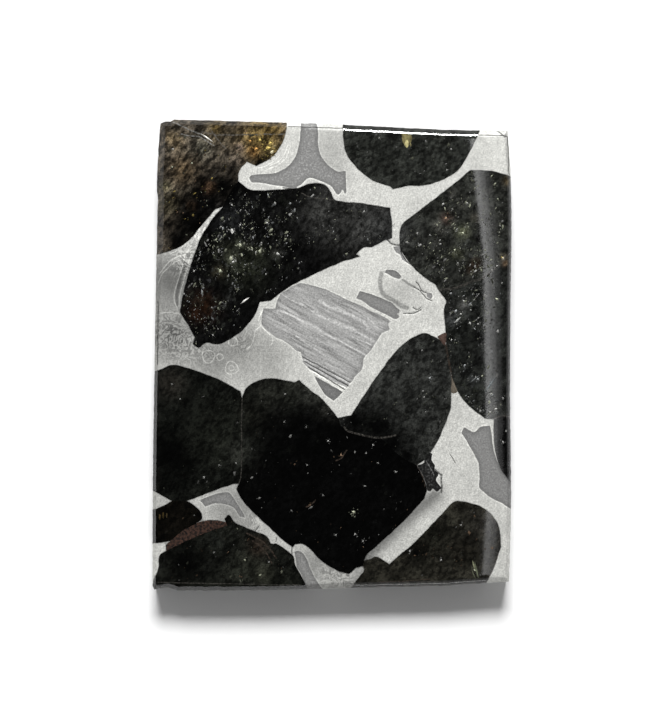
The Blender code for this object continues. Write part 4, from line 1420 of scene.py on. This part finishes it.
def olivine_look(name, streak, clear, contrast, length):
    """Olivine: clear but dark, hazy and cracked inside under a polished face, with light specks of cleavage
    painted in as glints.
    """
    look = Look(name, roughness=0.022)
    along = look.turned(streak, length)
    patches = look.noise(0.9, 3.0, along, roughness=0.6)
    mottle = look.noise(2.9, 2.0, along, distortion=0.4)
    grain = look.noise(7.0, 3.0, roughness=0.7)
    haze = look.band(patches, 0.32, 0.68, 0.5, 1.5)
    haze = look.times(haze, look.band(mottle, 0.34, 0.66, 0.45, 1.65))
    haze = look.times(haze, look.band(grain, 0.3, 0.7, 0.5, 1.6))
    colour = look.shaded(look.tint(), look.math("POWER", haze, contrast))

    # Painted glints: light specks of cleavage mixed into the colour, more where flaws crowd and in the
    # lighter patches of haze
    warp = look.mix(0.15, along, look.noise_colour(3.0), "ADD")
    for size, strength in ((1.5, 0.25), (3.6, 0.6)):
        painted_glint, kind = look.random_cells(size, warp)
        painted_glint = look.plus(painted_glint, look.times(look.mark("crowd"), 0.30))
        painted_glint = look.times(look.band(painted_glint, 1.0, 1.3), look.band(grain, 0.35, 0.65, 0.05, strength))
        painted_glint = look.times(painted_glint, look.band(patches, 0.35, 0.6, 0.1, 1.2))
        colour = look.mix(painted_glint, colour, look.mix(kind, *PAINTED_GLINT_TINTS))

    breaks = look.band(look.noise(5.0, 2.0), 0.42, 0.56, 0.2, 1.0)
    for mark, tint in LINE_COLOURS.items():
        colour = look.mix(look.line(mark, 1.5, 0.6, breaks), colour, tint)
    look.set(**{"Base Color": colour, "IOR": OLIVINE_IOR, "Transmission Weight": clear})
    look.bump(look.noise(0.25, 1.0), 0.05, 0.02)
    inner = look.node("VolumeAbsorption")
    look.feed(inner.inputs["Color"], LET_THROUGH)
    look.feed(inner.inputs["Density"], ABSORPTION)
    look.feed(look.tree.nodes["Material Output"].inputs["Volume"], inner.outputs[0])
    return look.material


def flaw_look():
    """Cracks and cleavage faces in the olivine that catch the light, each in its own colour, in which the
    flaws carry a painted glint.
    """
    look = Look("olivine_flaws_painted_glints", roughness=0.5)
    shade = look.noise(12.0, 2.0)
    colour = look.shaded(look.tint(), look.band(shade, 0.2, 0.8, 0.6, 1.2))
    look.set(**{"Base Color": colour, "Metallic": 1.0, "Roughness": look.band(shade, 0.2, 0.8, 0.5, 0.65)})
    look.bump(shade, 0.3, 0.01)
    return look.material


def rust_look():
    """The dark red-brown seam, grainy and dull."""
    look = Look("rust_seam_grainy", roughness=0.55, specular=0.2)
    grains = look.noise(4.0, 4.0, roughness=0.7)
    colour = look.mix(look.band(grains, 0.38, 0.64), *RUST_TINTS)
    look.set(**{"Base Color": colour, "Roughness": look.band(grains, 0.3, 0.7, 0.45, 0.65)})
    look.bump(grains, 0.6, 0.03)
    return look.material


def flake(places, faces, outline, peak, root):
    """Adds one closed flake sunk in the face: its outline, a low peak over it and a deeper one below."""
    first = len(places)
    sides = len(outline)
    middle = np.mean(outline, axis=0)
    top = middle * (1 - PEAK_SHIFT) + outline[0] * PEAK_SHIFT
    places += [(x, y, THICKNESS + FLAW_PROUD) for x, y in outline]
    places.append((*top, THICKNESS + FLAW_PROUD + peak))
    places.append((*middle, THICKNESS - root))
    for side in range(sides):
        ahead = first + (side + 1) % sides
        faces.append((first + side, ahead, first + sides))
        faces.append((ahead, first + side, first + sides + 1))


def flaw_outline(rng, place, reach, stretch, turn):
    """A ragged outline round a place, longer along one direction."""
    sides = int(rng.integers(*FLAW_SIDES))
    angles = 2 * math.pi * (np.arange(sides) + rng.uniform(-CORNER_SWAY, CORNER_SWAY, sides)) / sides
    share = reach * rng.uniform(*CORNER_REACH, sides)
    along, across = stretch * np.cos(angles) * share, np.sin(angles) * share
    x = along * math.cos(turn) - across * math.sin(turn)
    y = along * math.sin(turn) + across * math.cos(turn)
    return np.array(place) + np.column_stack((x, y))


def scattered_flaws(name, plan, rng):
    """Small flaws strewn over one crystal in clumps, as outlines with their colours, whose lightness is a
    painted glint.
    """
    ring = plan.crystals[name]
    density, brightest_painted_glint, colours = FLAWS[name]
    low, high = ring.min(0), ring.max(0)
    tries = int(density * np.prod(high - low))
    points = rng.uniform(low, high, (tries, 2))
    clumps = np.array([noise.noise(Vector((x, y, CLUMP_SLICE)) / CLUMP) for x, y in points])
    share = soft_spots(points, FLAW_CROWDS, FLAW_SHARE) * smooth(clumps / CLUMP_EDGE + CLUMP_START)
    kept = inside(points, ring) & inside(points, plan.rim)
    kept &= rng.uniform(0, 1, tries) < share
    points = points[kept]
    from_wall, _ = signed(points, [ring])
    from_rim, _ = signed(points, [plan.rim])
    streak = math.radians(STREAKS.get(name, STREAK))
    flaws = []
    for place, wall, edge in zip(points, from_wall, from_rim):
        reach = min(SMALLEST_FLAW + rng.exponential(FLAW_GROWTH), LARGEST_FLAW)
        stretch = rng.uniform(*FLAW_STRETCH)
        turn = streak + rng.normal(0, FLAW_TURNS) + SECOND_TURN * (rng.uniform() < SECOND_SHARE)
        # The flaw's lightness, painted into its colour, is a painted glint
        light = brightest_painted_glint * rng.uniform() ** DULLNESS
        colour = np.array(colours[rng.integers(len(colours))]) * light
        if light > DIMMEST_PAINTED_GLINT and wall > reach * stretch + OFF_WALL and edge > OFF_RIM:
            flaws.append((colour, flaw_outline(rng, place, reach, stretch, turn)))
    return flaws


def named_glints(name, rng):
    """The painted glints that stand out in the crystal: each a bright flake among some dimmer ones, lit in
    its colour.
    """
    flaws = []
    for x, y, reach, colour in GLINTS.get(name, ()):
        for piece in range(GLINT_PIECES):
            main = piece == 0
            place = np.array((x, y)) + rng.normal(0, reach * GLINT_SPREAD, 2) * (not main)
            size = reach * (MAIN_SIZE if main else rng.uniform(*DIM_SIZES))
            # The lightness of each flake is a painted glint
            light = MAIN_PAINTED_GLINT if main else rng.uniform(*DIM_PAINTED_GLINTS)
            outline = flaw_outline(rng, place, size, rng.uniform(*GLINT_STRETCH), rng.uniform(0, math.pi))
            flaws.append((np.array(colour) * light, outline))
    return flaws


def chips(name):
    """The chips of one piece, with smooth ragged outlines, anticlockwise."""
    return [
        (np.array(colour), closed_ring([[*outline, outline[0]]], CHIP_ROUGH))
        for colour, outline in CHIPS.get(name, ())
    ]


def flaw_mesh(name, flaws):
    """All the flaws and chips of one piece as one mesh, each flake in its own colour, dimmed at random
    towards its corners as painted glint.
    """
    rng = np.random.default_rng(len(flaws))
    places, faces, colours = [], [], []
    for colour, outline in flaws:
        reach = np.ptp(outline, axis=0).min() / 2
        flake(places, faces, outline, min(reach * FLAW_PEAK, FLAW_TALLEST), reach * FLAW_ROOT)
        shades = [*rng.uniform(DULLEST_CORNER, 1.0, len(outline)), 1.0, 1.0]
        colours += [colour * shade for shade in shades]
    mesh = bpy.data.meshes.new(name)
    mesh.from_pydata(np.array(places) * MM, [], faces)
    keep_tint(mesh, np.array(colours))
    return mesh


def linked(name, data):
    """A new object in the scene."""
    made = bpy.data.objects.new(name, data)
    bpy.context.scene.collection.objects.link(made)
    return made


def add_object(name, mesh, material, replaced=None):
    """One piece of the slab, which rides with it."""
    made = linked(name, mesh)
    mesh.materials.append(material)
    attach(made, "root")
    if replaced:
        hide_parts(replaced)


def add_metal(plan, marks, depths):
    """The islands of metal, all in one look."""
    look = metal_look()
    for name in METAL:
        mesh = solid_mesh(name, plan, {mark: marks[mark] for mark in METAL_MARKS}, depths)
        add_object(name + "_etched", mesh, look, name)


def add_crystal(name, plan, marks, depths):
    """One crystal, in a look and in colours of its own."""
    mesh = solid_mesh(name, plan, {mark: marks[mark] for mark in GLASS_MARKS}, depths)
    places = np.array([tuple(vertex.co.xy / MM) for vertex in mesh.vertices])
    keep_tint(mesh, soft_spots(places, COLOUR_SPOTS, CRYSTAL_COLOURS[name]))
    haze = GOLD_HAZE if name == GOLD_CRYSTAL else HAZE
    look = olivine_look(name + "_look", STREAKS.get(name, STREAK), *haze)
    add_object(name + "_clear", mesh, look, name)


def add_pieces():
    """Every solid of the slab, and the flaws set in its face, with their painted glints."""
    noise.seed_set(NOISE_SEED)
    plan = Plan()
    marks = plan_marks(plan)
    depths = slab_depths(plan, marks)
    add_metal(plan, marks, depths)
    seam = solid_mesh("rust_seam", plan, {}, depths)
    add_object("rust_seam_grainy", seam, rust_look(), "rust_seam")
    look = flaw_look()
    rng = np.random.default_rng(FLAW_SEED)
    for name in CRYSTALS:
        add_crystal(name, plan, marks, depths)
        flaws = scattered_flaws(name, plan, rng) + named_glints(name, rng) + chips(name)
        add_object(name + "_flaws", flaw_mesh(name + "_flaws", flaws), look)
    add_object("metal_web_rust", flaw_mesh("metal_web_rust", chips("metal_web")), look)


def add_floor():
    """A plain white floor."""
    mesh = bpy.data.meshes.new("floor")
    side = FLOOR_SIDE * MM
    corners = [(-side, -side, 0), (side, -side, 0), (side, side, 0), (-side, side, 0)]
    mesh.from_pydata(corners, [], [(0, 1, 2, 3)])
    floor = linked("floor", mesh)
    look = Look("floor_white", roughness=0.9, specular=0.0)
    look.set(**{"Base Color": FLOOR_WHITE})
    mesh.materials.append(look.material)


def add_world():
    """A studio dome: dark overhead, where the polished face would mirror it, and light round the sides."""
    world = bpy.data.worlds.new("studio")
    bpy.context.scene.world = world
    world.use_nodes = True
    nodes, links = world.node_tree.nodes, world.node_tree.links
    back = nodes["Background"]
    direction = nodes.new("ShaderNodeTexCoord")
    parts = nodes.new("ShaderNodeSeparateXYZ")
    links.new(direction.outputs["Generated"], parts.inputs[0])
    ramp = nodes.new("ShaderNodeValToRGB")
    links.new(parts.outputs["Z"], ramp.inputs[0])
    steps = ramp.color_ramp.elements
    steps.remove(steps[0])
    for number, (height, light) in enumerate(DOME):
        step = steps[0] if number == 0 else steps.new(height)
        step.position = height
        step.color = (light, light, light, 1)
    links.new(ramp.outputs[0], back.inputs["Color"])
    back.inputs["Strength"].default_value = DOME_STRENGTH


def add_light(name, place, target, sides, watts, shape="RECTANGLE"):
    """An area light aimed at a target, all in millimetres, unseen by the camera."""
    data = bpy.data.lights.new(name, "AREA")
    data.shape = shape
    data.size, data.size_y = (side * MM for side in sides)
    data.energy = watts
    light = linked(name, data)
    place, target = Vector(place) * MM, Vector(target) * MM
    light.location = place
    light.rotation_euler = (target - place).to_track_quat("-Z", "X").to_euler()
    light.visible_camera = False
    return light


def add_strip(upper, lower, right, strength):
    """A strip of light high over the slab, some way to the right of two ends, facing down."""
    along = Vector(upper) - Vector(lower)
    x, y = (Vector(upper) + Vector(lower)) / 2
    watts = strength * STRIP_WIDTH * along.length * MM**2
    sides = (STRIP_WIDTH, along.length)
    strip = add_light("strip", (x + right, y, STRIP_HEIGHT), (x + right, y, 0), sides, watts)
    strip.rotation_euler = (0, 0, math.atan2(-along.x, along.y))


def add_lights():
    """The main light, the low one in front and the bent strip."""
    add_light("key", KEY_PLACE, (0, 0, 0), KEY_SIDES, KEY_WATTS, "ELLIPSE")
    add_light("front", FRONT_PLACE, (0, 0, 0), FRONT_SIDES, FRONT_WATTS)
    for upper, lower, share in STRIPS:
        for right, strength in STRIP_STEPS:
            add_strip(upper, lower, right, share * strength)


def add_camera():
    """The photograph's camera, straight above the slab."""
    data = bpy.data.cameras.new("camera")
    data.sensor_fit = "VERTICAL"
    data.sensor_height = SENSOR
    data.lens = SENSOR * CAMERA_HEIGHT / VIEW_LENGTH
    data.clip_start = NEAREST_SEEN * MM
    camera = linked("camera", data)
    camera.location = Vector((*VIEW_MIDDLE, THICKNESS + CAMERA_HEIGHT)) * MM
    bpy.context.scene.camera = camera


add_pieces()
add_floor()
add_world()
add_lights()
add_camera()
bpy.context.scene.view_settings.view_transform = "Standard"
